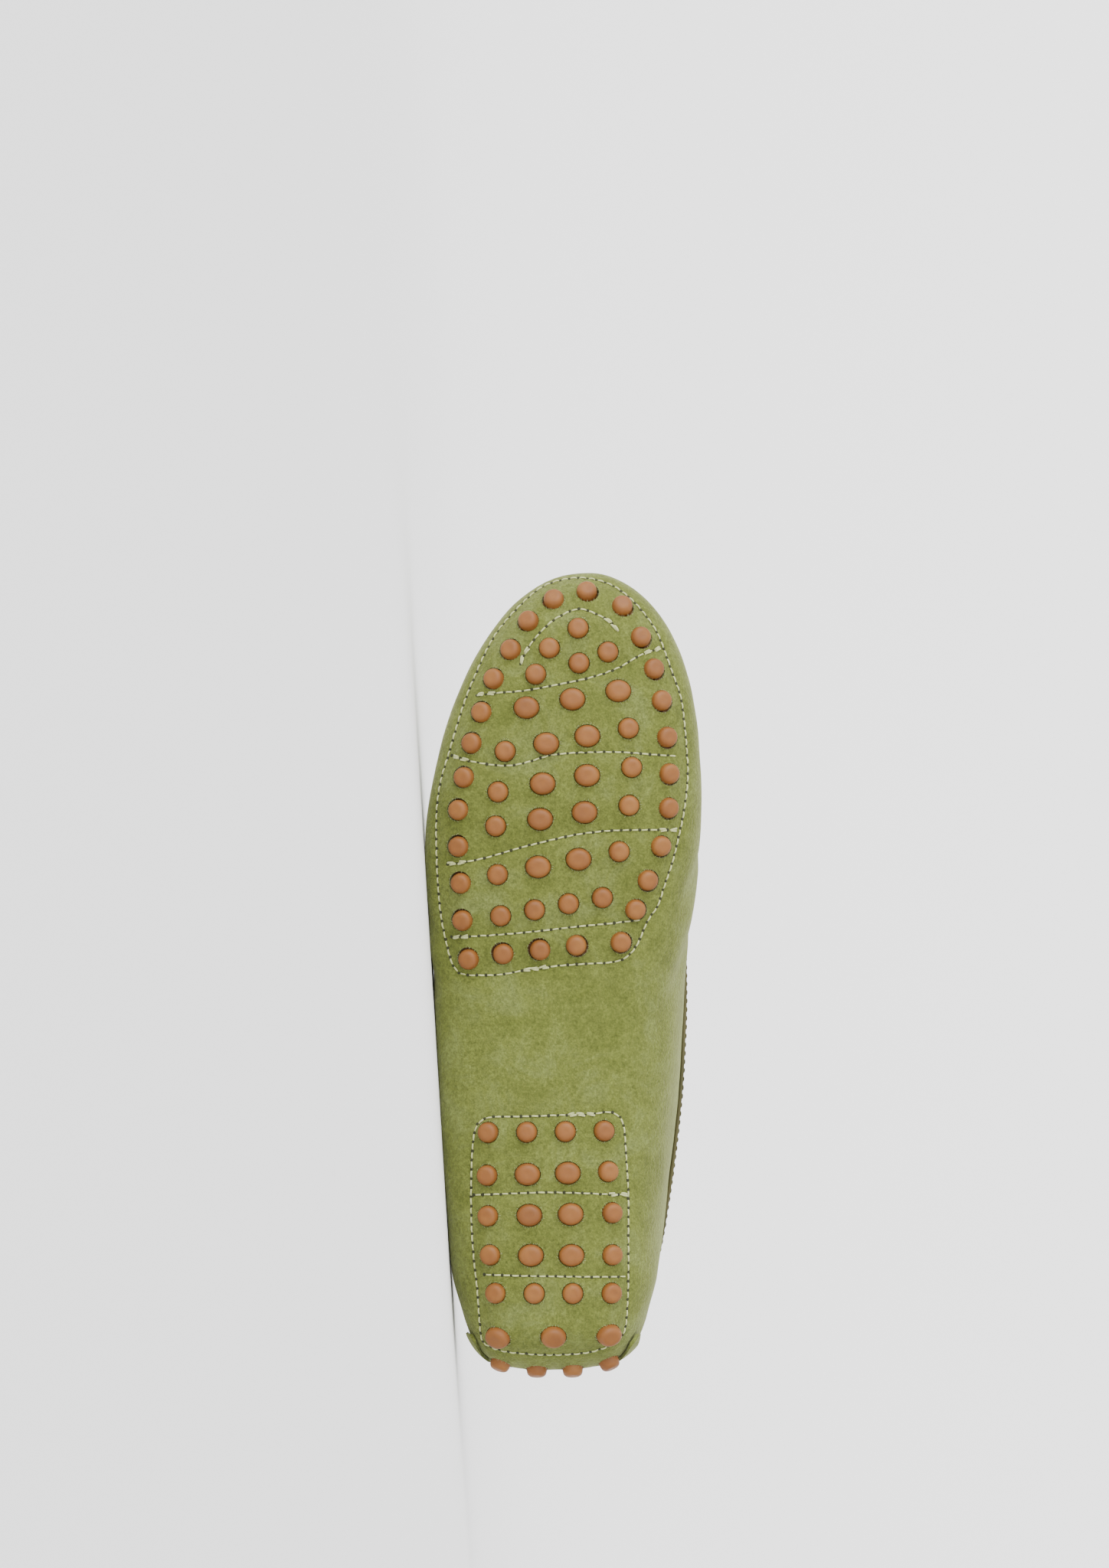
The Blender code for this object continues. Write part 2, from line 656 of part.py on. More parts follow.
def make_apron(parts, cutters):
    """The plug on top of the forefoot and the raised seam round it, both ending below the collar's binding."""
    seam_band = apron_edge(0.0) + apron_edge(SEAM_WIDTH)[::-1]
    pieces = []
    for name, thickness, edge in (("apron", APRON_THICKNESS, apron_edge(SEAM_WIDTH + FIT_GAP)),
                                  ("apron_seam", SEAM_HEIGHT, seam_band)):
        piece = layer(name, -(FIT_GAP + thickness), -FIT_GAP, parts)
        combine(piece, prism(edge, 2, INSTEP_HEIGHT * APRON_LOW, FAR, cutters), "INTERSECT")
        combine(piece, above_collar(BINDING_WIDTH + FIT_GAP, cutters), "DIFFERENCE")
        pieces.append(piece)
    return pieces


def make_binding(parts, cutters):
    binding = layer("collar_binding", -(FIT_GAP + BINDING_THICKNESS), -FIT_GAP, parts)
    band = collar_points(BINDING_WIDTH) + collar_points(-BINDING_RISE)[::-1]
    combine(binding, prism(band, 1, -FAR, FAR, cutters), "INTERSECT")
    return binding


def counter_outline():
    """The counter from behind, as pairs of across and up: a patch on two legs, with an arch between them."""
    middle = HALF_BALL * SECTION["centre"](0)
    foot = COUNTER_LEG_HALF
    outer = [(-foot, COUNTER_FOOT_HEIGHT), (-COUNTER_TOP_HALF, COUNTER_SHOULDER), (-COUNTER_TOP_HALF, FAR / 2),
             (COUNTER_TOP_HALF, FAR / 2), (COUNTER_TOP_HALF, COUNTER_SHOULDER), (foot, COUNTER_FOOT_HEIGHT)]
    inner = [(foot - COUNTER_LEG_WIDTH, COUNTER_FOOT_HEIGHT)]
    spring = COUNTER_ARCH_HEIGHT / 2
    for i in range(9):
        angle = math.pi * i / 8
        inner.append((COUNTER_ARCH_HALF * 1.25 * math.cos(angle),
                      spring + (COUNTER_ARCH_HEIGHT - spring) * math.sin(angle)))
    inner.append((-foot + COUNTER_LEG_WIDTH, COUNTER_FOOT_HEIGHT))
    return [(middle + across, up) for across, up in outer + inner]


def make_counter(parts, cutters):
    counter = layer("heel_counter", -(FIT_GAP + COUNTER_THICKNESS), -FIT_GAP, parts)
    block = prism(counter_outline(), 0, -FAR, COUNTER_REACH * SHOE_LENGTH, cutters)
    combine(counter, block, "INTERSECT")
    combine(counter, above_collar(BINDING_WIDTH + FIT_GAP, cutters), "DIFFERENCE")
    return counter


def centre_of_mass(objects):
    """The common centre of solids of one density."""
    moment = Vector((0, 0, 0))
    volume = 0.0
    for obj in objects:
        bm = bmesh.new()
        bm.from_mesh(obj.data)
        bmesh.ops.triangulate(bm, faces=bm.faces)
        for face in bm.faces:
            a, b, c = (vert.co for vert in face.verts)
            piece = a.dot(b.cross(c)) / 6
            moment += (a + b + c) / 4 * piece
            volume += piece
        bm.free()
    return moment / volume


def inside_face(face, point):
    """Whether the point, moved along the face's normal, lies inside a three-sided face."""
    corners = [vert.co for vert in face.verts]
    return all((corners[(i + 1) % 3] - corners[i]).cross(point - corners[i]).dot(face.normal) >= 0
               for i in range(3))


def resting_side(objects):
    """The flat of the shoe's hull that it comes to lie on, on its outer side: a point and a normal."""
    hull = bmesh.new()
    for obj in objects:
        hull.from_mesh(obj.data)
    made = bmesh.ops.convex_hull(hull, input=hull.verts)
    unused = [item for item in made["geom_interior"] + made["geom_unused"]
              if isinstance(item, bmesh.types.BMVert)]
    bmesh.ops.delete(hull, geom=unused, context="VERTS")
    bmesh.ops.triangulate(hull, faces=hull.faces)
    hull.normal_update()
    centre = centre_of_mass(objects)
    outer = [face for face in hull.faces if face.normal.y < -0.8 and inside_face(face, centre)]
    face = min(outer, key=lambda item: item.normal.y)
    point = face.verts[0].co.copy()
    normal = face.normal.copy()
    hull.free()
    return point, normal


def lay_down(objects, cutters):
    """Turn the shoe onto its outer side, with its sole facing -Y, and flatten it a little where it lies."""
    point, normal = resting_side(objects)
    up = -normal
    toe = Vector((1, 0, 0))
    toe -= toe.project(up)
    toe.normalize()
    turn = Matrix((-toe, up.cross(-toe), up)).to_4x4()
    corners = [turn @ vert.co for obj in objects for vert in obj.data.vertices]
    middle_x = (min(c.x for c in corners) + max(c.x for c in corners)) / 2
    middle_y = (min(c.y for c in corners) + max(c.y for c in corners)) / 2
    floor = (turn @ point).z + SIDE_SETTLE
    stand = bpy.data.objects.new("shoe_on_its_side", None)
    bpy.context.scene.collection.objects.link(stand)
    stand.matrix_world = Matrix.Translation((-middle_x, -middle_y, -floor)) @ turn
    outline = [(-FAR, -FAR), (FAR, -FAR), (FAR, FAR), (-FAR, FAR)]
    floor_block = prism(outline, 2, -FAR, 0.0, cutters)
    floor_block.name = "floor_block"
    for obj in objects:
        obj.parent = stand
        lowest = min((stand.matrix_world @ vert.co).z for vert in obj.data.vertices)
        if lowest < 0:
            flat = obj.modifiers.new("flat_where_it_lies", "BOOLEAN")
            flat.operation = "DIFFERENCE"
            flat.solver = "EXACT"
            flat.object = floor_block


def main():
    clear_scene()
    parts = new_collection("driving_moccasin")
    cutters = new_collection("cutters")
    seats = find_seats()
    green = make_material("suede_green", SUEDE_GREEN)
    dark = make_material("suede_dark", SUEDE_DARK)
    tan = make_material("rubber_tan", RUBBER_TAN)
    sock = make_material("insole_tan", INSOLE_TAN)
    made = [(make_upper(seats, parts, cutters), green)]
    made += [(pad, tan) for pad in make_pads(seats, parts, cutters)]
    made.append((make_insole(parts, cutters), sock))
    made += [(piece, green) for piece in make_apron(parts, cutters)]
    made.append((make_binding(parts, cutters), dark))
    made.append((make_counter(parts, cutters), green))
    for obj, material in made:
        obj.data.materials.clear()
        obj.data.materials.append(material)
        obj.data.shade_smooth()
        obj.data.set_sharp_from_angle(angle=math.radians(40))
    lay_down([obj for obj, _ in made], cutters)


main()
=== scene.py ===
"""Looks of the driving moccasin: suede, rubber pebbles, stitching, apron, binding, floor, light and camera.

Every piece is modelled in the shoe's own frame: x from the back of the heel to the toe, y to the inner
side of the foot, z up from the sole. It is then laid on its outer side, where the frame's solids lie.
"""
import math

import bmesh
import bpy
import numpy as np
from mathutils import Matrix, Vector, noise
from mathutils.bvhtree import BVHTree


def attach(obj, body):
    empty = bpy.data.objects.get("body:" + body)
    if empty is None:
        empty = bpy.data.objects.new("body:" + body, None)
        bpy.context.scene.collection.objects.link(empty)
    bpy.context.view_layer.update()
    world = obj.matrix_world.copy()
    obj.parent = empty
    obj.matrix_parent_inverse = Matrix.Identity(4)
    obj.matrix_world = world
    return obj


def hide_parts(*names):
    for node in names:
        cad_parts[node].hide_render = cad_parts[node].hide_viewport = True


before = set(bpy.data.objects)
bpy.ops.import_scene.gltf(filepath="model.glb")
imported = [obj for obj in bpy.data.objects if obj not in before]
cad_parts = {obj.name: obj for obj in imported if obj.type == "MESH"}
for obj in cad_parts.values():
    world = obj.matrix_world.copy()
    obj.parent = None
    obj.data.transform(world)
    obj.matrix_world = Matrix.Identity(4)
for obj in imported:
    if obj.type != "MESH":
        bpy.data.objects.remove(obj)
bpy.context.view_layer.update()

MM = 0.001

# Sizes of the shoe
SHOE_LENGTH = 280.0 * MM
BALL_WIDTH = 96.6 * MM
INSTEP_HEIGHT = 70.0 * MM
TOE_SPRING = 9.0 * MM
TOE_TIP_HEIGHT = 21.7 * MM
HEEL_BACK_HEIGHT = 24.0 * MM
HALF_BALL = BALL_WIDTH / 2

# Thicknesses
SUEDE_WALL = 2.0 * MM
FIT_GAP = 0.4 * MM
PAD_THICKNESS = 1.6 * MM
INSOLE_THICKNESS = 3.0 * MM
APRON_THICKNESS = 1.1 * MM
SEAM_HEIGHT = 2.2 * MM
SEAM_WIDTH = 3.2 * MM
BINDING_THICKNESS = 1.0 * MM
BINDING_WIDTH = 7.0 * MM
COUNTER_THICKNESS = 1.1 * MM

# Pebbles
PEBBLE_DIAMETER = 7.2 * MM
LARGE_PEBBLE_DIAMETER = 7.7 * MM
LARGE_PEBBLE_OVAL = 1.15
HOLE_GAP = 0.22 * MM
EDGE_HOLE_SLIP = 0.42 * MM
BACK_ROW_HEIGHT = 15.5 * MM
BACK_PAD_LOW = 11.5 * MM
BACK_PAD_HIGH = 27.0 * MM
BACK_PAD_HALF = 22.0 * MM
# How high the forefoot's pad turns up round the foot, as a share of the instep height
PAD_LIP = 0.18
HEEL_PAD_TOP = 10.0 * MM

# Stitches
STITCH_PITCH = 3.2 * MM
STITCH_LENGTH = 2.45 * MM
THREAD_WIDTH = 0.62 * MM
NEEDLE_HOLE = 0.62 * MM

# How the shoe lies: how far its upward direction leans to the toe and to the top, and where the heel end is
LEAN_TO_TOE = math.radians(3.4886)
LEAN_TO_TOP = math.radians(0.1791)
SHOE_ORIGIN = Vector((138.131, -33.908, 37.294)) * MM

# The form of the last, as in the part's source
SECTION_COLUMNS = ("along", "centre", "half", "rise", "outer_bulge", "inner_bulge", "crown",
                   "sole_square", "crown_square")
SECTIONS = (
    (0.00, -0.075, 0.640, 0.00, 0.343, 0.343, 0.93, 3.2, 2.2),
    (0.05, -0.055, 0.650, 0.00, 0.300, 0.360, 0.97, 3.2, 2.6),
    (0.12, -0.054, 0.750, 0.00, 0.260, 0.420, 1.01, 3.2, 4.0),
    (0.20, -0.048, 0.800, 0.03, 0.250, 0.520, 1.04, 3.2, 5.5),
    (0.28, -0.036, 0.845, 0.14, 0.250, 0.600, 1.05, 3.3, 7.0),
    (0.36, -0.025, 0.880, 0.26, 0.260, 0.640, 1.07, 3.4, 7.0),
    (0.43, -0.023, 0.900, 0.33, 0.260, 0.640, 1.08, 3.5, 6.0),
    (0.50, -0.025, 0.920, 0.28, 0.250, 0.600, 1.07, 3.7, 4.5),
    (0.58, -0.017, 0.970, 0.14, 0.230, 0.480, 1.03, 4.0, 3.3),
    (0.66, 0.000, 1.000, 0.03, 0.220, 0.360, 0.92, 4.2, 2.7),
    (0.74, 0.030, 1.000, 0.02, 0.220, 0.300, 0.77, 4.2, 2.5),
    (0.82, 0.070, 1.000, 0.14, 0.235, 0.280, 0.66, 4.0, 2.5),
    (0.90, 0.115, 1.000, 0.44, 0.265, 0.285, 0.59, 3.6, 2.5),
    (1.00, 0.160, 1.000, 1.00, 0.310, 0.310, 0.52, 3.0, 2.3),
)
HEIGHT_POWER = 2.2
HEEL_PLAN_ROUNDING = (0.070, 2.9)
HEEL_SOLE_ROUNDING = (0.070, 2.0)
HEEL_CROWN_ROUNDING = (0.035, 3.0)
TOE_PLAN_ROUNDING = (0.330, 2.15)
TOE_SOLE_ROUNDING = (0.070, 2.2)
TOE_CROWN_ROUNDING = (0.120, 2.2)

COLLAR_COLUMNS = ("along", "height")
COLLAR = (
    (-0.05, 0.88),
    (0.00, 0.86),
    (0.10, 0.80),
    (0.20, 0.735),
    (0.30, 0.715),
    (0.40, 0.74),
    (0.50, 0.82),
    (0.58, 0.93),
    (0.64, 1.06),
    (0.72, 1.30),
)

# Pebbles, as in the part's source: shares of the tread's length and of half its breadth
TREAD_START = 0.0093
TREAD_SPAN = 0.9874
RING_COLUMNS = ("along", "across")
RING = (
    (0.977, 0.173), (0.959, 0.430), (0.920, 0.564), (0.880, 0.659), (0.840, 0.715), (0.794, 0.754),
    (0.748, 0.771), (0.705, 0.765), (0.657, 0.709), (0.614, 0.614), (0.577, 0.525), (0.536, 0.419),
    (0.532, 0.095), (0.526, -0.168), (0.521, -0.436), (0.514, -0.687), (0.563, -0.731), (0.610, -0.743),
    (0.656, -0.759), (0.702, -0.759), (0.743, -0.720), (0.786, -0.664), (0.825, -0.592), (0.867, -0.503),
    (0.904, -0.380), (0.940, -0.251), (0.967, -0.067),
)
ROW_COLUMNS = ("along_outer", "along_inner", "across_outer", "across_inner", "count", "large_from",
               "large_to")
FOREFOOT_ROWS = (
    (0.931, 0.931, 0.110, 0.110, 1, 9, 0),
    (0.906, 0.901, -0.100, 0.327, 2, 9, 0),
    (0.873, 0.887, -0.200, 0.116, 2, 9, 0),
    (0.831, 0.852, -0.267, 0.402, 3, 0, 2),
    (0.776, 0.805, -0.422, 0.476, 4, 1, 2),
    (0.725, 0.756, -0.474, 0.499, 4, 1, 2),
    (0.682, 0.708, -0.491, 0.480, 4, 1, 2),
    (0.621, 0.650, -0.478, 0.408, 4, 1, 2),
    (0.569, 0.592, -0.455, 0.286, 4, 9, 0),
)
HEEL_ROWS = (
    (0.296, 0.298, -0.547, 0.298, 4, 9, 0),
    (0.242, 0.247, -0.553, 0.327, 4, 1, 2),
    (0.191, 0.195, -0.547, 0.356, 4, 1, 2),
    (0.142, 0.142, -0.530, 0.356, 4, 1, 2),
    (0.094, 0.094, -0.491, 0.350, 4, 9, 0),
    (0.038, 0.041, -0.474, 0.333, 3, 0, 2),
)
BACK_ROW = (-0.455, 0.333, 4)

APRON_TIP = 0.945
APRON_REAR = 0.507
APRON_HALF = 0.65
APRON_LOW = 0.3
APRON_ROUNDING = (0.20, 2.3)
APRON_STEPS = 60

COUNTER_TOP_HALF = 27.0 * MM
COUNTER_LEG_HALF = 31.0 * MM
COUNTER_LEG_WIDTH = 4.0 * MM
COUNTER_FOOT_HEIGHT = 12.0 * MM
COUNTER_SHOULDER = 42.0 * MM
COUNTER_ARCH_HALF = 18.0 * MM
COUNTER_ARCH_HEIGHT = 41.0 * MM
COUNTER_REACH = 0.048

# Stitch lines on the sole: along as a share of the tread's length, across as a share of half its breadth
FOREFOOT_LOOP = (
    (0.996, 0.112), (0.986, -0.134), (0.958, -0.329), (0.920, -0.508), (0.872, -0.642), (0.838, -0.720),
    (0.801, -0.787), (0.771, -0.838), (0.739, -0.893), (0.698, -0.924), (0.634, -0.921), (0.600, -0.910),
    (0.565, -0.888), (0.524, -0.838), (0.504, -0.798), (0.495, -0.737), (0.494, -0.609), (0.495, -0.447),
    (0.501, -0.262), (0.506, -0.034), (0.508, 0.128), (0.510, 0.341), (0.513, 0.424), (0.521, 0.491),
    (0.537, 0.553), (0.564, 0.620), (0.580, 0.687), (0.609, 0.743), (0.637, 0.798), (0.673, 0.849),
    (0.707, 0.888), (0.744, 0.910), (0.771, 0.905), (0.807, 0.888), (0.844, 0.860), (0.875, 0.798),
    (0.905, 0.737), (0.926, 0.687), (0.948, 0.603), (0.972, 0.475), (0.989, 0.324),
)
HEEL_LOOP = (
    (0.306, -0.625), (0.315, -0.530), (0.316, -0.313), (0.318, 0.039), (0.319, 0.218), (0.322, 0.324),
    (0.318, 0.397), (0.305, 0.441), (0.269, 0.458), (0.220, 0.475), (0.173, 0.475), (0.115, 0.475),
    (0.081, 0.469), (0.047, 0.452), (0.032, 0.397), (0.023, 0.290), (0.017, 0.145), (0.015, -0.067),
    (0.016, -0.246), (0.019, -0.424), (0.024, -0.530), (0.032, -0.592), (0.057, -0.609), (0.096, -0.625),
    (0.140, -0.653), (0.189, -0.670), (0.235, -0.670), (0.280, -0.659),
)
TOE_ARC = ((0.886, -0.313), (0.905, -0.262), (0.926, -0.168), (0.944, -0.050), (0.956, 0.112),
           (0.950, 0.229), (0.940, 0.341), (0.927, 0.397))
TOE_LINE = ((0.847, -0.631), (0.850, -0.464), (0.852, -0.296), (0.857, -0.134), (0.864, 0.078),
            (0.872, 0.262), (0.883, 0.424), (0.898, 0.570), (0.907, 0.726))
BALL_LINE = ((0.771, -0.815), (0.765, -0.709), (0.760, -0.558), (0.758, -0.397), (0.763, -0.246),
             (0.771, -0.101), (0.774, 0.078), (0.775, 0.262), (0.775, 0.408), (0.772, 0.653), (0.770, 0.832))
TREAD_LINE = ((0.634, -0.843), (0.637, -0.709), (0.643, -0.542), (0.654, -0.329), (0.661, -0.168),
              (0.668, 0.000), (0.673, 0.162), (0.676, 0.324), (0.677, 0.491), (0.677, 0.832))
WAIST_LINE = ((0.542, -0.815), (0.543, -0.659), (0.546, -0.413), (0.550, -0.168), (0.555, 0.078),
              (0.559, 0.324), (0.564, 0.570))
HEEL_FRONT_LINE = ((0.217, -0.653), (0.221, -0.089), (0.217, 0.469))
HEEL_REAR_LINE = ((0.117, -0.575), (0.114, 0.469))
# (points, closed, back-tacked at its start, back-tacked at its end)
SOLE_LINES = (
    (FOREFOOT_LOOP, True, False, False),
    (HEEL_LOOP, True, False, False),
    (TOE_ARC, False, True, True),
    (TOE_LINE, False, True, True),
    (BALL_LINE, False, True, False),
    (TREAD_LINE, False, True, True),
    (WAIST_LINE, False, True, False),
    (HEEL_FRONT_LINE, False, False, True),
    (HEEL_REAR_LINE, False, False, False),
)

# Creases in the suede: from and to as (share of the length, share of half the ball width, height in mm),
# then half width in mm and depth in mm; a negative depth is a ridge
CREASE_COLUMNS = ("from", "to", "half_width", "depth")
CREASES = (
    ((0.010, -0.62, 9.0), (0.055, -0.78, 20.0), 2.2, 0.9),
    ((0.030, -0.60, 4.0), (0.075, -0.76, 11.0), 2.0, -0.6),
    ((0.050, -0.64, 3.0), (0.095, -0.80, 9.0), 2.4, 0.7),
    ((0.012, 0.46, 9.0), (0.058, 0.64, 20.0), 2.2, 0.9),
    ((0.034, 0.46, 4.0), (0.080, 0.62, 11.0), 2.0, -0.6),
    ((0.055, 0.48, 3.0), (0.100, 0.68, 9.0), 2.4, 0.6),
    ((0.000, -0.50, 20.0), (0.012, -0.66, 36.0), 2.6, 0.6),
    ((0.000, 0.34, 20.0), (0.012, 0.50, 36.0), 2.6, 0.6),
    ((0.480, -0.92, 14.0), (0.560, -0.93, 34.0), 4.5, 0.7),
    ((0.520, -0.92, 12.0), (0.610, -0.94, 30.0), 4.0, -0.5),
    ((0.560, -0.94, 12.0), (0.640, -0.96, 32.0), 4.5, 0.6),
    ((0.470, 0.86, 16.0), (0.560, 0.90, 40.0), 5.0, 0.8),
    ((0.530, 0.90, 14.0), (0.620, 0.95, 34.0), 4.5, -0.5),
    ((0.590, 0.94, 12.0), (0.660, 0.98, 30.0), 4.5, 0.7),
    ((0.340, 0.60, 4.0), (0.440, 0.78, 12.0), 6.0, 0.5),
    ((0.360, -0.66, 3.0), (0.450, -0.80, 10.0), 6.0, 0.4),
    ((0.140, -0.72, 8.0), (0.260, -0.82, 26.0), 7.0, 0.5),
    ((0.120, 0.62, 10.0), (0.240, 0.74, 34.0), 7.0, 0.5),
)


def tangents(places, values):
    """Slopes of a curve through the values that never overshoots between them."""
    slopes = [(values[i + 1] - values[i]) / (places[i + 1] - places[i]) for i in range(len(places) - 1)]
    inner = []
    for before, after in zip(slopes, slopes[1:]):
        turns = before * after <= 0
        inner.append(0.0 if turns else 2 * before * after / (before + after))
    return [slopes[0]] + inner + [slopes[-1]]


def smooth_table(rows, columns):
    """Functions of the first column, one for each other column."""
    places = [row[0] for row in rows]

    def reader(values):
        slopes = tangents(places, values)

        def read(place):
            place = min(max(place, places[0]), places[-1])
            span = next(i for i in range(len(places) - 1) if place <= places[i + 1])
            width = places[span + 1] - places[span]
            t = (place - places[span]) / width
            return ((1 + 2 * t) * (1 - t) ** 2 * values[span] + t * (1 - t) ** 2 * width * slopes[span]
                    + t * t * (3 - 2 * t) * values[span + 1] + t * t * (t - 1) * width * slopes[span + 1])
        return read
    return {name: reader([row[i] for row in rows]) for i, name in enumerate(columns) if i > 0}


SECTION = smooth_table(SECTIONS, SECTION_COLUMNS)
COLLAR_LINE = smooth_table(COLLAR, COLLAR_COLUMNS)


def rounding(distance, law):
    """0 at the end of the form, 1 from the law's reach onwards."""
    reach, fullness = law
    if distance >= reach:
        return 1.0
    return (1.0 - (1.0 - distance / reach) ** 2) ** (1.0 / fullness)


def plan_edges(share):
    half = HALF_BALL * SECTION["half"](share)
    half *= rounding(share, HEEL_PLAN_ROUNDING) * rounding(1 - share, TOE_PLAN_ROUNDING)
    centre = HALF_BALL * SECTION["centre"](share)
    return centre - half, centre + half


def sole_height(share):
    rise = TOE_SPRING * SECTION["rise"](share)
    toe = TOE_TIP_HEIGHT - (TOE_TIP_HEIGHT - rise) * rounding(1 - share, TOE_SOLE_ROUNDING)
    return HEEL_BACK_HEIGHT - (HEEL_BACK_HEIGHT - toe) * rounding(share, HEEL_SOLE_ROUNDING)


def crown_height(share):
    crown = INSTEP_HEIGHT * SECTION["crown"](share)
    toe = TOE_TIP_HEIGHT + (crown - TOE_TIP_HEIGHT) * rounding(1 - share, TOE_CROWN_ROUNDING)
    return HEEL_BACK_HEIGHT + (toe - HEEL_BACK_HEIGHT) * rounding(share, HEEL_CROWN_ROUNDING)


def bulge_height(share, column):
    low = sole_height(share)
    high = crown_height(share)
    height = INSTEP_HEIGHT * SECTION[column](share)
    return min(max(height, low + 0.12 * (high - low)), high - 0.12 * (high - low))


def quarter_arc(width, height, across_power, up_power, count):
    """Evenly spaced points of a quarter superellipse, from its widest point to its end on the middle line."""
    even = np.linspace(0.0, 1.0, 90)
    across = np.concatenate((even, np.maximum(1 - even ** (2 / up_power), 0.0) ** (across_power / 2)))
    across = np.unique(across)[::-1]
    up = np.maximum(1 - across ** (2 / across_power), 0.0) ** (up_power / 2)
    steps = np.hypot(np.diff(across) * width, np.diff(up) * height)
    travelled = np.concatenate(([0.0], np.cumsum(steps)))
    places = travelled[-1] * np.arange(count + 1) / count
    return np.interp(places, travelled, across), np.interp(places, travelled, up)


def section_ring(share, low_steps, high_steps):
    """The points round one section, from the outer side under the sole to the inner side and over the top."""
    outer, inner = plan_edges(share)
    middle = HALF_BALL * SECTION["centre"](share)
    low = sole_height(share)
    high = crown_height(share)
    outer_bulge = bulge_height(share, "outer_bulge")
    inner_bulge = bulge_height(share, "inner_bulge")
    sole_power = 2 / SECTION["sole_square"](share)
    crown_power = 2 / SECTION["crown_square"](share)
    quarters = (
        (outer, outer_bulge, low, sole_power, low_steps, False),
        (inner, inner_bulge, low, sole_power, low_steps, True),
        (inner, inner_bulge, high, crown_power, high_steps, False),
        (outer, outer_bulge, high, crown_power, high_steps, True),
    )
    rows = []
    for edge, bulge, end, power, steps, from_middle in quarters:
        across, up = quarter_arc(abs(edge - middle), abs(end - bulge), power, 2 / HEIGHT_POWER, steps)
        if from_middle:
            across, up = across[::-1], up[::-1]
        rows.append(np.column_stack((np.full(steps, share * SHOE_LENGTH),
                                     middle + (edge - middle) * across[:-1],
                                     bulge + (end - bulge) * up[:-1])))
    return np.concatenate(rows)


END_SHARE = 0.08


def ring_shares(end_steps, middle_steps):
    """Where the rings stand: closer together towards the two ends."""
    ends = [END_SHARE * (1 - math.cos(math.pi / 2 * i / end_steps)) for i in range(1, end_steps + 1)]
    middle = [END_SHARE + (1 - 2 * END_SHARE) * i / middle_steps for i in range(1, middle_steps)]
    return ends + middle + [1 - share for share in ends[::-1]]


class Form:
    """The form's rings and the outward direction at each point."""

    def __init__(self, end_steps, middle_steps, low_steps, high_steps):
        shares = ring_shares(end_steps, middle_steps)
        self.rings = len(shares)
        self.around = 2 * (low_steps + high_steps)
        heel = (0, HALF_BALL * SECTION["centre"](0), HEEL_BACK_HEIGHT)
        toe = (SHOE_LENGTH, HALF_BALL * SECTION["centre"](1), TOE_TIP_HEIGHT)
        rings = [section_ring(share, low_steps, high_steps) for share in shares]
        self.points = np.concatenate(rings + [np.array([heel, toe])])
        self.faces = self.skin_faces()
        mesh = bpy.data.meshes.new("form")
        mesh.from_pydata(self.points.tolist(), [], self.faces)
        normals = np.empty(len(self.points) * 3, dtype=np.float32)
        mesh.vertices.foreach_get("normal", normals)
        bpy.data.meshes.remove(mesh)
        self.outward = normals.reshape(-1, 3).astype(float)

    def skin_faces(self):
        faces = []
        heel = self.rings * self.around
        toe = heel + 1
        last = (self.rings - 1) * self.around
        for i in range(self.around):
            j = (i + 1) % self.around
            faces.append((heel, j, i))
            faces.append((toe, last + i, last + j))
            for start in range(0, last, self.around):
                ahead = start + self.around
                faces.append((start + i, start + j, ahead + j, ahead + i))
        return faces

    def moved(self, depth):
        return self.points - self.outward * np.asarray(depth).reshape(-1, 1)

    def tree(self, depth=0.0):
        return BVHTree.FromPolygons(self.moved(depth).tolist(), self.faces)


def linked(name, mesh):
    obj = bpy.data.objects.new(name, mesh)
    bpy.context.scene.collection.objects.link(obj)
    return obj


def object_from_arrays(name, points, faces):
    mesh = bpy.data.meshes.new(name)
    mesh.from_pydata(np.asarray(points).tolist(), [], faces)
    return linked(name, mesh)


def object_from(name, bm):
    mesh = bpy.data.meshes.new(name)
    bm.to_mesh(mesh)
    bm.free()
    return linked(name, mesh)


def face_outwards(obj):
    """Turn every face of a closed mesh outwards."""
    bm = bmesh.new()
    bm.from_mesh(obj.data)
    bmesh.ops.recalc_face_normals(bm, faces=bm.faces)
    bm.to_mesh(obj.data)
    bm.free()


def band_faces(rings, count, closed=False):
    """Faces between rings of points, each ring closed round itself."""
    faces = []
    for ring in range(rings if closed else rings - 1):
        start = ring * count
        ahead = (ring + 1) % rings * count
        for i in range(count):
            j = (i + 1) % count
            faces.append((start + i, start + j, ahead + j, ahead + i))
    return faces


def remove_object(obj):
    mesh = obj.data
    bpy.data.objects.remove(obj)
    bpy.data.meshes.remove(mesh)


def combine(target, cutter, operation):
    """Boolean the cutter into the target, and remove the cutter."""
    modifier = target.modifiers.new(operation.lower(), "BOOLEAN")
    modifier.operation = operation
    modifier.solver = "EXACT"
    modifier.object = cutter
    graph = bpy.context.evaluated_depsgraph_get()
    result = bpy.data.meshes.new_from_object(target.evaluated_get(graph))
    target.modifiers.remove(modifier)
    old = target.data
    target.data = result
    bpy.data.meshes.remove(old)
    remove_object(cutter)


def layer(name, outer_form, outer_depth, inner_form, inner_depth):
    """A hollow form with the outer skin from one form and the inner skin from another."""
    outer = outer_form.moved(outer_depth)
    inner = inner_form.moved(inner_depth)
    faces = list(outer_form.faces) + [tuple(i + len(outer) for i in face[::-1]) for face in inner_form.faces]
    return object_from_arrays(name, np.concatenate((outer, inner)), faces)


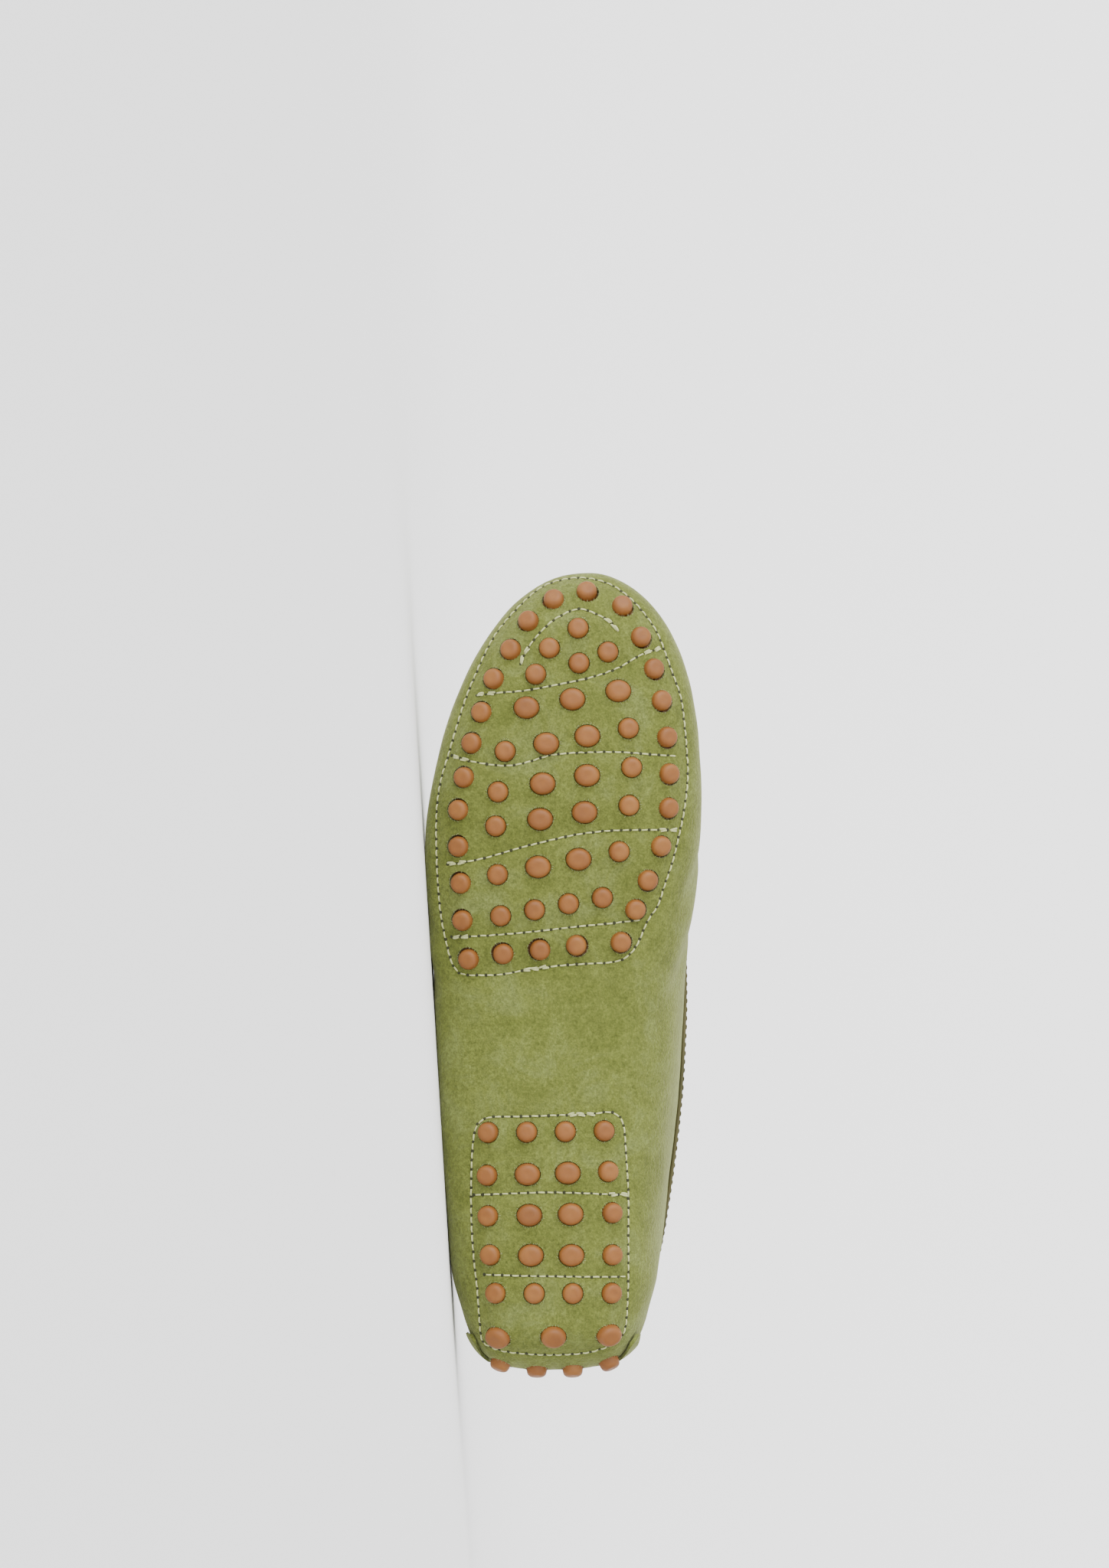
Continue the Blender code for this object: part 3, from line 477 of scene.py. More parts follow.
def prism(outline, axis, low, high):
    """A block between two places on the axis, its outline given as pairs of the two other coordinates."""
    bm = bmesh.new()
    verts = []
    for first, second in outline:
        point = [first, second]
        point.insert(axis, low)
        verts.append(bm.verts.new(point))
    face = bm.faces.new(verts)
    swept = bmesh.ops.extrude_face_region(bm, geom=[face])
    shift = [0.0, 0.0, 0.0]
    shift[axis] = high - low
    moved = [item for item in swept["geom"] if isinstance(item, bmesh.types.BMVert)]
    bmesh.ops.translate(bm, vec=shift, verts=moved)
    bmesh.ops.recalc_face_normals(bm, faces=bm.faces)
    return object_from("block", bm)


FAR = SHOE_LENGTH


def collar_height(x):
    return COLLAR_LINE["height"](x / SHOE_LENGTH) * INSTEP_HEIGHT


def collar_points(drop):
    start, end = COLLAR[0][0], COLLAR[-1][0]
    count = 60
    places = [(start + (end - start) * i / count) * SHOE_LENGTH for i in range(count + 1)]
    return [(x, collar_height(x) - drop) for x in places]


def above_collar(drop):
    points = collar_points(drop)
    outline = points + [(points[-1][0], FAR), (points[0][0], FAR)]
    return prism(outline, 1, -FAR, FAR)


def tread_place(along, across):
    """The place of a table's shares, seen from below."""
    return (TREAD_START + TREAD_SPAN * along) * SHOE_LENGTH, TREAD_SPAN * across * HALF_BALL


def tread_path(rows):
    return np.array([tread_place(along, across) for along, across in rows])


def row_spots(rows):
    spots = []
    for values in rows:
        row = dict(zip(ROW_COLUMNS, values))
        for i in range(row["count"]):
            t = i / (row["count"] - 1) if row["count"] > 1 else 0.0
            along = row["along_outer"] + (row["along_inner"] - row["along_outer"]) * t
            across = row["across_outer"] + (row["across_inner"] - row["across_outer"]) * t
            large = row["large_from"] <= i <= row["large_to"]
            spots.append((*tread_place(along, across), large))
    return spots


def back_spots():
    across_outer, across_inner, count = BACK_ROW
    return [tread_place(0.0, across_outer + (across_inner - across_outer) * i / (count - 1))[1]
            for i in range(count)]


FROM_BELOW = Vector((0, 0, 1))
FROM_ABOVE = Vector((0, 0, -1))
FROM_BEHIND = Vector((1, 0, 0))


def meet(tree, first, second, direction):
    """Where a ray from far outside meets the form, and the outward direction there."""
    start = Vector((first, second, 0)) if direction.z else Vector((0, first, second))
    place, out, _, _ = tree.ray_cast(start - direction * FAR, direction)
    return place, out


def surface_seat(tree, start, direction):
    """Where a ray meets the outside of the shoe, and the outward direction there, averaged nearby."""
    reach = 3.0 * MM
    side = direction.orthogonal().normalized()
    other = direction.cross(side)
    seat = tree.ray_cast(start, direction)[0]
    total = Vector((0, 0, 0))
    for offset in (Vector((0, 0, 0)), side * reach, side * -reach, other * reach, other * -reach):
        normal = tree.ray_cast(start + offset, direction)[1]
        if normal is not None:
            total += normal
    return seat, total.normalized()


def find_seats(tree):
    """Every pebble's seat: its pad, place, outward direction, whether it is large, and how its hole slips."""
    seats = []
    places = [dict(zip(RING_COLUMNS, values)) for values in RING]
    ring = [(*tread_place(place["along"], place["across"]), False, True) for place in places]
    inner = [(x, y, large, False) for x, y, large in row_spots(FOREFOOT_ROWS)]
    heel = [(x, y, large, False) for x, y, large in row_spots(HEEL_ROWS)]
    for pad, spots in (("forefoot", ring + inner), ("heel", heel)):
        for x, y, large, edge in spots:
            place, outward = surface_seat(tree, Vector((x, y, -FAR)), FROM_BELOW)
            middle = HALF_BALL * SECTION["centre"](x / SHOE_LENGTH)
            slip = Vector((0.55, -0.83, 0)) if y < middle else Vector((-0.55, 0.83, 0))
            seats.append((pad, place, outward, large, slip * EDGE_HOLE_SLIP if edge else Vector((0, 0, 0))))
    for y in back_spots():
        place, outward = surface_seat(tree, Vector((-FAR, y, BACK_ROW_HEIGHT)), FROM_BEHIND)
        seats.append(("back", place, outward, False, Vector((0, 0, 0))))
    return seats


def pebble_frame(seat):
    """The turn that puts a stud's axis on the outward direction, with its long axis across the shoe."""
    outward = seat[2]
    across = Vector((0, 1, 0))
    across = (across - across.project(outward)).normalized()
    return Matrix((across, outward.cross(across), outward)).transposed().to_4x4()


def pebble_size(large):
    radius = (LARGE_PEBBLE_DIAMETER if large else PEBBLE_DIAMETER) / 2
    return radius * (LARGE_PEBBLE_OVAL if large else 1.0), radius


def smooth_path(points, closed, spacing):
    """A smooth curve through the points, and points evenly spaced along it."""
    count = len(points)
    dense = []
    spans = count if closed else count - 1
    for i in range(spans):
        if closed:
            a, b, c, d = (points[(i + k) % count] for k in (-1, 0, 1, 2))
        else:
            b, c = points[i], points[i + 1]
            a = points[i - 1] if i > 0 else 2 * b - c
            d = points[i + 2] if i + 2 < count else 2 * c - b
        for t in np.arange(0, 1, 0.125):
            dense.append(0.5 * (2 * b + (c - a) * t + (2 * a - 5 * b + 4 * c - d) * t * t
                                + (3 * b - a - 3 * c + d) * t ** 3))
    dense.append(points[0] if closed else points[-1])
    dense = np.array(dense)
    travelled = np.concatenate(([0.0], np.cumsum(np.linalg.norm(np.diff(dense, axis=0), axis=1))))
    steps = max(int(round(travelled[-1] / spacing)), 1)
    places = travelled[-1] * np.arange(steps + (0 if closed else 1)) / steps
    return np.column_stack([np.interp(places, travelled, dense[:, i]) for i in range(dense.shape[1])])


def nearest_on_path(points, path, closed):
    """Distance of each point to a path, and how far along it the nearest place is."""
    ends = np.roll(path, -1, axis=0) if closed else path[1:]
    starts = path if closed else path[:-1]
    spans = ends - starts
    lengths = np.linalg.norm(spans, axis=1)
    travelled = np.concatenate(([0.0], np.cumsum(lengths)))[:-1]
    best = np.full(len(points), np.inf)
    place = np.zeros(len(points))
    for start, span, length, before in zip(starts, spans, lengths, travelled):
        share = np.clip(((points - start) @ span) / (length * length), 0, 1)
        gap = np.linalg.norm(points - start - share[:, None] * span, axis=1)
        closer = gap < best
        best[closer] = gap[closer]
        place[closer] = before + share[closer] * length
    return best, place


def inside_path(points, path):
    """Whether each point lies inside a closed path."""
    inside = np.zeros(len(points), dtype=bool)
    for a, b in zip(path, np.roll(path, -1, axis=0)):
        crosses = (a[1] > points[:, 1]) != (b[1] > points[:, 1])
        run = b[1] - a[1] if b[1] != a[1] else 1e-12
        edge = a[0] + (points[:, 1] - a[1]) / run * (b[0] - a[0])
        inside ^= crosses & (points[:, 0] < edge)
    return inside


def bell(distance, half_width):
    return np.exp(-(distance / half_width) ** 2)


def swell(distance, shape):
    """A low rise at distance 0, its shape given as height and half width in mm."""
    return shape[0] * MM * bell(distance, shape[1] * MM)


def apron_edge(margin, steps):
    """The apron's edge seen from above, from the outer rear corner round the tip, moved in by margin."""
    points = []
    tip = APRON_TIP - margin / SHOE_LENGTH
    for side in (-1, 1):
        half_edge = []
        for i in range(steps + 1):
            share = APRON_REAR + (tip - APRON_REAR) * math.sin(math.pi / 2 * i / steps)
            half = APRON_HALF * HALF_BALL * rounding(tip - share, APRON_ROUNDING)
            scale = 1 - margin / (APRON_HALF * HALF_BALL)
            centre = SECTION["centre"](share) * HALF_BALL
            half_edge.append((share * SHOE_LENGTH, centre + side * half * scale))
        points += half_edge if side < 0 else half_edge[-2::-1]
    return np.array(points)


PUCKER_PITCH = 5.2 * MM

# How the suede's outside leaves the smooth form: height and half width in mm
STITCH_PULL = (0.34, 1.25)
STITCH_VALLEY = (0.22, 4.5)
PAD_SWELL = (0.45, 5.0)
HOLE_SWELL = (0.28, 1.6)
GATHER = (0.55, 5.5)
SEAM_VALLEY = (0.35, 3.0)
# Where the gathers begin along the shoe, and where they are full
GATHER_START = 0.66
GATHER_REACH = 0.12


def suede_relief(form, seats):
    """How far the wrap's outside is pressed in at each point of the form, in metres."""
    points = form.points
    under = form.outward[:, 2]
    depth = np.zeros(len(points))

    # The wrap lies a little proud over the rubber, and each stitch line draws it in
    sole = np.where(under < 0.35)[0]
    plan = points[sole][:, :2]
    lift = np.zeros(len(sole))
    for rows, closed, _, _ in SOLE_LINES:
        path = smooth_path(tread_path(rows), closed, 2.0 * MM)
        gap, place = nearest_on_path(plan, path, closed)
        tug = 1 + 0.35 * np.cos(2 * math.pi * place / STITCH_PITCH)
        lift -= swell(gap, STITCH_PULL) * tug
        lift -= swell(gap, STITCH_VALLEY)
        if closed:
            lift += np.where(inside_path(plan, path), PAD_SWELL[0] * MM - swell(gap, PAD_SWELL), 0.0)
    depth[sole] -= lift

    # A low swell round each pebble's hole
    for _, place, _, large, slip in seats:
        near = np.linalg.norm(points - np.array(place + slip), axis=1)
        depth -= swell(near - pebble_size(large)[1], HOLE_SWELL)

    # Gathers at the apron's seam
    top = np.where(under > 0.0)[0]
    seam = apron_edge(0.0, APRON_STEPS)
    gap, place = nearest_on_path(points[top][:, :2], seam, False)
    outside = ~inside_path(points[top][:, :2], seam)
    wave = np.cos(2 * math.pi * place / PUCKER_PITCH)
    forward = np.clip((points[top][:, 0] / SHOE_LENGTH - GATHER_START) / GATHER_REACH, 0, 1)
    depth[top] += np.where(outside, swell(gap - 1.5 * MM, GATHER) * (0.35 + wave) * forward, 0.0)
    depth[top] += np.where(outside, swell(gap, SEAM_VALLEY), 0.0)

    # Creases listed one by one
    for values in CREASES:
        crease = dict(zip(CREASE_COLUMNS, values))
        ends = [np.array((along * SHOE_LENGTH, across * HALF_BALL, height * MM))
                for along, across, height in (crease["from"], crease["to"])]
        gap, _ = nearest_on_path(points, np.array(ends), False)
        depth += swell(gap, (crease["depth"], crease["half_width"]))

    # The hand-made surface is never quite even
    for index in range(len(points)):
        place = Vector(points[index])
        uneven = noise.noise(place * 38) * 0.42 + noise.noise(place * 95 + Vector((7, 3, 1))) * 0.16
        depth[index] += uneven * MM
    return depth


def studs(seats, from_depth, proud, growth, segments):
    """Round cutters on the seats, from a depth in the shoe to proud outside it."""
    bm = bmesh.new()
    for seat in seats:
        _, place, outward, large, slip = seat
        long_radius, radius = pebble_size(large)
        middle = place + slip + outward * (proud - from_depth) / 2
        shape = Matrix.Translation(middle) @ pebble_frame(seat) @ Matrix.Diagonal((long_radius + growth,
                                                                                 radius + growth, 1, 1))
        bmesh.ops.create_cone(bm, cap_ends=True, segments=segments, radius1=1, radius2=1,
                              depth=proud + from_depth, matrix=shape)
    return object_from("studs", bm)


def make_upper(form, coarse, seats):
    relief = suede_relief(form, seats)
    upper = layer("upper_suede", form, relief, coarse, SUEDE_WALL)
    combine(upper, above_collar(0.0), "DIFFERENCE")
    inner = [seat for seat in seats if seat[4].length == 0]
    edge = [seat for seat in seats if seat[4].length > 0]
    reach = SUEDE_WALL * 2
    combine(upper, studs(inner, reach, reach, HOLE_GAP, 26), "DIFFERENCE")
    combine(upper, studs(edge, reach, reach, HOLE_GAP + 0.18 * MM, 26), "DIFFERENCE")
    return upper, relief


# A pebble's outline: radius as a share of its own, height in mm above the suede
PEBBLE_PROFILE = (
    (1.000, -2.9),
    (1.000, 0.3),
    (0.985, 1.1),
    (0.955, 1.75),
    (0.905, 2.25),
    (0.830, 2.67),
    (0.730, 2.97),
    (0.620, 3.16),
    (0.500, 3.26),
    (0.380, 3.28),
    (0.240, 3.25),
    (0.110, 3.23),
)
PEBBLE_SEGMENTS = 28


def add_pebble(bm, seat, squash):
    long_radius, radius = pebble_size(seat[3])
    turn = Matrix.Translation(seat[1]) @ pebble_frame(seat)
    rings = []
    for share, height in PEBBLE_PROFILE:
        ring = []
        for i in range(PEBBLE_SEGMENTS):
            angle = 2 * math.pi * i / PEBBLE_SEGMENTS
            local = Vector((long_radius * share * math.cos(angle), radius * share * math.sin(angle),
                            height * MM * squash))
            ring.append(bm.verts.new(turn @ local))
        rings.append(ring)
    top = bm.verts.new(turn @ Vector((0, 0, PEBBLE_PROFILE[-1][1] * MM * squash)))
    base = bm.verts.new(turn @ Vector((0, 0, PEBBLE_PROFILE[0][1] * MM)))
    for i in range(PEBBLE_SEGMENTS):
        j = (i + 1) % PEBBLE_SEGMENTS
        for low, high in zip(rings, rings[1:]):
            bm.faces.new((low[i], low[j], high[j], high[i]))
        bm.faces.new((rings[-1][i], rings[-1][j], top))
        bm.faces.new((rings[0][j], rings[0][i], base))


def back_pad_outline():
    """The pad behind the heel, as pairs of across and up."""
    middle = HALF_BALL * SECTION["centre"](0)
    rise = (BACK_PAD_HIGH - BACK_PAD_LOW) / 2
    points = []
    for i in range(32):
        angle = 2 * math.pi * i / 32
        across = math.copysign(abs(math.cos(angle)) ** 0.5, math.cos(angle))
        up = math.copysign(abs(math.sin(angle)) ** 0.5, math.sin(angle))
        points.append((middle + BACK_PAD_HALF * across, BACK_PAD_LOW + rise * (1 + up)))
    return points


def make_pads(coarse, seats):
    depth = SUEDE_WALL + FIT_GAP
    shapes = (
        ("forefoot", "forefoot_pebbles", "forefoot_pad", smooth_path(tread_path(FOREFOOT_LOOP), True, 5 * MM),
         2, -FAR, PAD_LIP * INSTEP_HEIGHT),
        ("heel", "heel_pebbles", "heel_pad", tread_path(HEEL_LOOP), 2, -FAR, HEEL_PAD_TOP),
        ("back", "heel_back_pebbles", "heel_back_pad", back_pad_outline(), 0, -FAR, SHOE_LENGTH / 4),
    )
    rng = np.random.default_rng(11)
    pads = []
    for own, name, node, outline, axis, low, high in shapes:
        pad = layer(name, coarse, depth, coarse, depth + PAD_THICKNESS)
        combine(pad, prism([tuple(point) for point in outline], axis, low, high), "INTERSECT")
        bm = bmesh.new()
        bm.from_mesh(pad.data)
        for seat in seats:
            if seat[0] == own:
                add_pebble(bm, seat, 0.97 + 0.05 * rng.random())
        bm.to_mesh(pad.data)
        bm.free()
        pads.append((pad, node))
    return pads


def make_insole(coarse):
    depth = SUEDE_WALL + FIT_GAP + PAD_THICKNESS + FIT_GAP
    insole = object_from_arrays("sock_and_insole", coarse.moved(depth), coarse.faces)
    shares = [i / 60 for i in range(61)]
    top = [(share * SHOE_LENGTH, TOE_SPRING * SECTION["rise"](share) + depth + INSOLE_THICKNESS)
           for share in shares]
    combine(insole, prism(top + [(SHOE_LENGTH, -FAR), (0.0, -FAR)], 1, -FAR, FAR), "INTERSECT")
    return insole


def make_apron(form, coarse):
    """The plug on top of the forefoot, crowned a little above its seam."""
    gap, _ = nearest_on_path(form.points[:, :2], apron_edge(0.0, APRON_STEPS), False)
    crown = 0.5 * MM * (1 - bell(gap, 8.0 * MM))
    wave = np.array([noise.noise(Vector(point) * 60) for point in form.points]) * 0.3 * MM
    apron = layer("apron_plug", form, -(FIT_GAP + APRON_THICKNESS + crown + wave), coarse, -FIT_GAP)
    outline = [tuple(point) for point in apron_edge(SEAM_WIDTH * 0.7, APRON_STEPS)]
    combine(apron, prism(outline, 2, INSTEP_HEIGHT * APRON_LOW, FAR), "INTERSECT")
    combine(apron, above_collar(BINDING_WIDTH + FIT_GAP), "DIFFERENCE")
    return apron


def tube(name, frames, profile):
    """Sweep a profile of (side, out) pairs, one for each frame, along frames of place, side and out."""
    count = len(profile(0))
    points = []
    for index, (place, side, out) in enumerate(frames):
        for sideways, outwards in profile(index):
            points.append(tuple(place + side * sideways + out * outwards))
    rings = len(frames)
    ends = [tuple(range(count))[::-1], tuple(range((rings - 1) * count, rings * count))]
    obj = object_from_arrays(name, points, band_faces(rings, count) + ends)
    face_outwards(obj)
    return obj


def surface_frames(tree, path):
    """Place, side and outward direction at each point of a path seen from above."""
    seats = [meet(tree, x, y, FROM_ABOVE) for x, y in path]
    frames = []
    for i, (place, out) in enumerate(seats):
        before = seats[max(i - 1, 0)][0]
        after = seats[min(i + 1, len(seats) - 1)][0]
        along = (after - before).normalized()
        side = out.cross(along).normalized()
        square = side.cross(along).normalized()
        frames.append((place, side, square if square.dot(out) > 0 else -square))
    return frames


SEAM_STEP = 0.9 * MM


def make_seam(tree):
    """The raised, gathered seam round the apron."""
    path = smooth_path(apron_edge(SEAM_WIDTH / 2, 50), False, SEAM_STEP)
    keep = []
    for x, y in path:
        place, _ = meet(tree, x, y, FROM_ABOVE)
        if place is not None and place.z < collar_height(x) - BINDING_WIDTH - FIT_GAP:
            keep.append((x, y))
    frames = surface_frames(tree, keep)
    half = SEAM_WIDTH / 2

    def profile(index):
        wave = 0.5 + 0.5 * math.cos(2 * math.pi * index * SEAM_STEP / PUCKER_PITCH)
        high = SEAM_HEIGHT * (0.80 + 0.20 * wave)
        wide = half * (0.92 + 0.14 * wave)
        low = FIT_GAP * 0.5
        return [(-wide * 1.12, low), (-wide, low + high * 0.35), (-wide * 0.72, low + high * 0.78),
                (-wide * 0.30, low + high * 0.98), (0.0, low + high * 0.90), (wide * 0.30, low + high * 0.98),
                (wide * 0.72, low + high * 0.78), (wide, low + high * 0.35), (wide * 1.12, low)]
    return tube("apron_raised_seam", frames, profile), frames


BINDING_STEP = 1.5 * MM
BINDING_INSIDE = SUEDE_WALL + 0.3 * MM


def collar_loop(tree):
    """Points round the collar's edge on the form, found by rays from the middle of the opening."""
    middle_share = 0.33
    centre_x = middle_share * SHOE_LENGTH
    centre_y = HALF_BALL * SECTION["centre"](middle_share)
    raw = []
    steps = 420
    for i in range(steps):
        angle = 2 * math.pi * i / steps
        direction = Vector((math.cos(angle), math.sin(angle), 0))
        x = centre_x + 60 * MM * math.cos(angle)
        hit = None
        for _ in range(30):
            z = collar_height(x)
            hit = tree.ray_cast(Vector((centre_x, centre_y, z)), direction)
            if hit[0] is None:
                break
            x += 0.35 * (hit[0].x - x)
        if hit[0] is not None:
            raw.append(tuple(hit[0]))
    return smooth_path(np.array(raw[::3]), True, BINDING_STEP)


def binding_profile(index):
    """The binding's section at one frame, as pairs of rise above the collar's edge and outwards."""
    low = -BINDING_WIDTH
    inside = -BINDING_INSIDE
    outer = FIT_GAP + BINDING_THICKNESS
    wave = 0.06 * MM * math.cos(2 * math.pi * index * BINDING_STEP / (3.0 * MM))
    return ((low, 0.12 * MM), (low, outer * 0.62), (low + 0.5 * MM, outer),
            (low + 1.5 * MM, outer - 0.10 * MM + wave), (low + 2.4 * MM, outer + 0.05 * MM),
            (-3.0 * MM, outer + 0.08 * MM), (-1.2 * MM, outer), (0.0, outer - 0.25 * MM),
            (0.9 * MM, outer - 0.95 * MM), (1.2 * MM, -0.4 * MM), (1.1 * MM, -1.4 * MM),
            (0.5 * MM, inside - 0.3 * MM), (-0.6 * MM, inside - 0.75 * MM), (-3.0 * MM, inside - 0.8 * MM),
            (-6.0 * MM, inside - 0.75 * MM), (-6.3 * MM, inside - 0.35 * MM), (-6.0 * MM, inside + 0.1 * MM),
            (-3.0 * MM, inside + 0.1 * MM), (-0.2 * MM, inside + 0.1 * MM), (-0.2 * MM, 0.12 * MM),
            (-3.0 * MM, 0.12 * MM))


def make_binding(tree, loop):
    """The binding, folded over the edge of the collar."""
    frames = []
    count = len(loop)
    for i in range(count):
        place = Vector(loop[i])
        along = (Vector(loop[(i + 1) % count]) - Vector(loop[i - 1])).normalized()
        _, out, _, _ = tree.find_nearest(place)
        up = along.cross(out).normalized()
        if up.z < 0:
            up = -up
        frames.append((place, up, out))
    points = []
    for index, (place, up, _) in enumerate(frames):
        profile = binding_profile(index)
        for rise, outwards in profile:
            near, normal, _, _ = tree.find_nearest(place + up * rise)
            points.append(tuple(near + normal * outwards))
    binding = object_from_arrays("collar_edge_binding", points, band_faces(count, len(profile), True))
    face_outwards(binding)
    return binding, frames


def counter_outline(inset):
    """The counter from behind, as pairs of across and up: a patch on two legs, with an arch between them."""
    middle = HALF_BALL * SECTION["centre"](0)
    foot = COUNTER_LEG_HALF - inset
    top = COUNTER_TOP_HALF - inset
    leg = COUNTER_LEG_WIDTH - 2 * inset
    outer = [(-foot, COUNTER_FOOT_HEIGHT + inset), (-top, COUNTER_SHOULDER), (-top, FAR / 2),
             (top, FAR / 2), (top, COUNTER_SHOULDER), (foot, COUNTER_FOOT_HEIGHT + inset)]
    inner = [(foot - leg, COUNTER_FOOT_HEIGHT + inset)]
    spring = COUNTER_ARCH_HEIGHT / 2
    steps = 24
    for i in range(steps + 1):
        angle = math.pi * i / steps
        inner.append(((COUNTER_ARCH_HALF * 1.25 + inset) * math.cos(angle),
                      spring + (COUNTER_ARCH_HEIGHT + inset - spring) * math.sin(angle)))
    inner.append((-foot + leg, COUNTER_FOOT_HEIGHT + inset))
    return [(middle + across, up) for across, up in outer + inner]


def make_counter(form, coarse):
    wave = np.array([noise.noise(Vector(point) * 70) for point in form.points]) * 0.25 * MM
    counter = layer("heel_counter_suede", form, -(FIT_GAP + COUNTER_THICKNESS + wave), coarse, -FIT_GAP)
    combine(counter, prism(counter_outline(0.0), 0, -FAR, COUNTER_REACH * SHOE_LENGTH), "INTERSECT")
    combine(counter, above_collar(BINDING_WIDTH + FIT_GAP), "DIFFERENCE")
    return counter


# Stitches, dark discs of painted shade for the needle holes, and frayed fibres are set out by geometry nodes
# on carrier points

def socket(node, name, output=False):
    """The socket of that name that is in use."""
    found = node.outputs if output else node.inputs
    return next(item for item in found if item.name == name and item.enabled)


def named_vector(nodes, name):
    node = nodes.new("GeometryNodeInputNamedAttribute")
    node.data_type = "FLOAT_VECTOR"
    socket(node, "Name").default_value = name
    return socket(node, "Attribute", True)


def placing_tree(name, material):
    """A tree that puts a shape on each point, its X along the point's run and its Z along its rise."""
    tree = bpy.data.node_groups.new(name, "GeometryNodeTree")
    for label, kind in (("Points", "NodeSocketGeometry"), ("Shape", "NodeSocketObject"),
                        ("Smallest", "NodeSocketFloat"), ("Largest", "NodeSocketFloat"),
                        ("Turn", "NodeSocketFloat"), ("Seed", "NodeSocketInt")):
        tree.interface.new_socket(label, in_out="INPUT", socket_type=kind)
    tree.interface.new_socket("Pieces", in_out="OUTPUT", socket_type="NodeSocketGeometry")
    nodes, links = tree.nodes, tree.links
    given = nodes.new("NodeGroupInput")
    result = nodes.new("NodeGroupOutput")
    shape = nodes.new("GeometryNodeObjectInfo")
    links.new(given.outputs["Shape"], socket(shape, "Object"))
    run = nodes.new("FunctionNodeAlignRotationToVector")
    run.axis = "X"
    links.new(named_vector(nodes, "run"), socket(run, "Vector"))
    rise = nodes.new("FunctionNodeAlignRotationToVector")
    rise.axis = "Z"
    rise.pivot_axis = "X"
    links.new(socket(run, "Rotation", True), socket(rise, "Rotation"))
    links.new(named_vector(nodes, "rise"), socket(rise, "Vector"))
    size = nodes.new("FunctionNodeRandomValue")
    size.data_type = "FLOAT"
    links.new(given.outputs["Smallest"], socket(size, "Min"))
    links.new(given.outputs["Largest"], socket(size, "Max"))
    links.new(given.outputs["Seed"], socket(size, "Seed"))
    twist = nodes.new("FunctionNodeRandomValue")
    twist.data_type = "FLOAT_VECTOR"
    low = nodes.new("ShaderNodeCombineXYZ")
    high = nodes.new("ShaderNodeCombineXYZ")
    minus = nodes.new("ShaderNodeMath")
    minus.operation = "MULTIPLY"
    minus.inputs[1].default_value = -1.0
    links.new(given.outputs["Turn"], minus.inputs[0])
    for axis in ("X", "Y", "Z"):
        links.new(minus.outputs[0], low.inputs[axis])
        links.new(given.outputs["Turn"], high.inputs[axis])
    links.new(low.outputs[0], socket(twist, "Min"))
    links.new(high.outputs[0], socket(twist, "Max"))
    links.new(given.outputs["Seed"], socket(twist, "Seed"))
    turned = nodes.new("FunctionNodeRotateRotation")
    turned.rotation_space = "LOCAL"
    to_rotation = nodes.new("FunctionNodeEulerToRotation")
    links.new(socket(twist, "Value", True), to_rotation.inputs[0])
    links.new(socket(rise, "Rotation", True), turned.inputs[0])
    links.new(to_rotation.outputs[0], turned.inputs[1])
    placed = nodes.new("GeometryNodeInstanceOnPoints")
    links.new(given.outputs["Points"], socket(placed, "Points"))
    links.new(socket(shape, "Geometry", True), socket(placed, "Instance"))
    links.new(turned.outputs[0], socket(placed, "Rotation"))
    links.new(socket(size, "Value", True), socket(placed, "Scale"))
    real = nodes.new("GeometryNodeRealizeInstances")
    links.new(placed.outputs[0], real.inputs[0])
    finish = nodes.new("GeometryNodeSetMaterial")
    links.new(real.outputs[0], socket(finish, "Geometry"))
    socket(finish, "Material").default_value = material
    links.new(finish.outputs[0], result.inputs[0])
    return tree


def place_shapes(name, marks, shape, material, smallest, largest, turn, seed):
    """A plain mesh of one shape on each mark; a mark is a place, the way it runs and the way it rises."""
    mesh = bpy.data.meshes.new(name + "_marks")
    mesh.from_pydata([tuple(mark[0]) for mark in marks], [], [])
    for index, label in ((1, "run"), (2, "rise")):
        attribute = mesh.attributes.new(label, "FLOAT_VECTOR", "POINT")
        attribute.data.foreach_set("vector", [value for mark in marks for value in mark[index]])
    carrier = linked(name + "_marks", mesh)
    tree = placing_tree(name + "_placing", material)
    modifier = carrier.modifiers.new("placing", "NODES")
    modifier.node_group = tree
    values = {"Shape": shape, "Smallest": smallest, "Largest": largest, "Turn": turn, "Seed": seed}
    for item in tree.interface.items_tree:
        if item.item_type == "SOCKET" and item.in_out == "INPUT" and item.name in values:
            modifier[item.identifier] = values[item.name]
    graph = bpy.context.evaluated_depsgraph_get()
    result = bpy.data.meshes.new_from_object(carrier.evaluated_get(graph))
    carrier.modifiers.remove(modifier)
    remove_object(carrier)
    remove_object(shape)
    for attribute_name in ("run", "rise"):
        if attribute_name in result.attributes:
            result.attributes.remove(result.attributes[attribute_name])
    result.name = name
    return linked(name, result)


def stitch_shape(length, width):
    """One stitch: a thread that comes up, runs along X and goes down again."""
    stations = ((-0.50, -0.55, 0.60), (-0.40, 0.10, 0.92), (-0.14, 0.42, 1.0), (0.14, 0.42, 1.0),
                (0.40, 0.10, 0.92), (0.50, -0.55, 0.60))
    sides = 7
    points = []
    for along, rise, girth in stations:
        for i in range(sides):
            angle = 2 * math.pi * i / sides
            points.append((along * length, girth * width / 2 * math.cos(angle),
                           rise * width + girth * width * 0.42 * math.sin(angle)))
    ends = [tuple(range(sides))[::-1], tuple(range(len(points) - sides, len(points)))]
    shape = object_from_arrays("stitch", points, ends + band_faces(len(stations), sides))
    face_outwards(shape)
    shape.data.shade_smooth()
    return shape


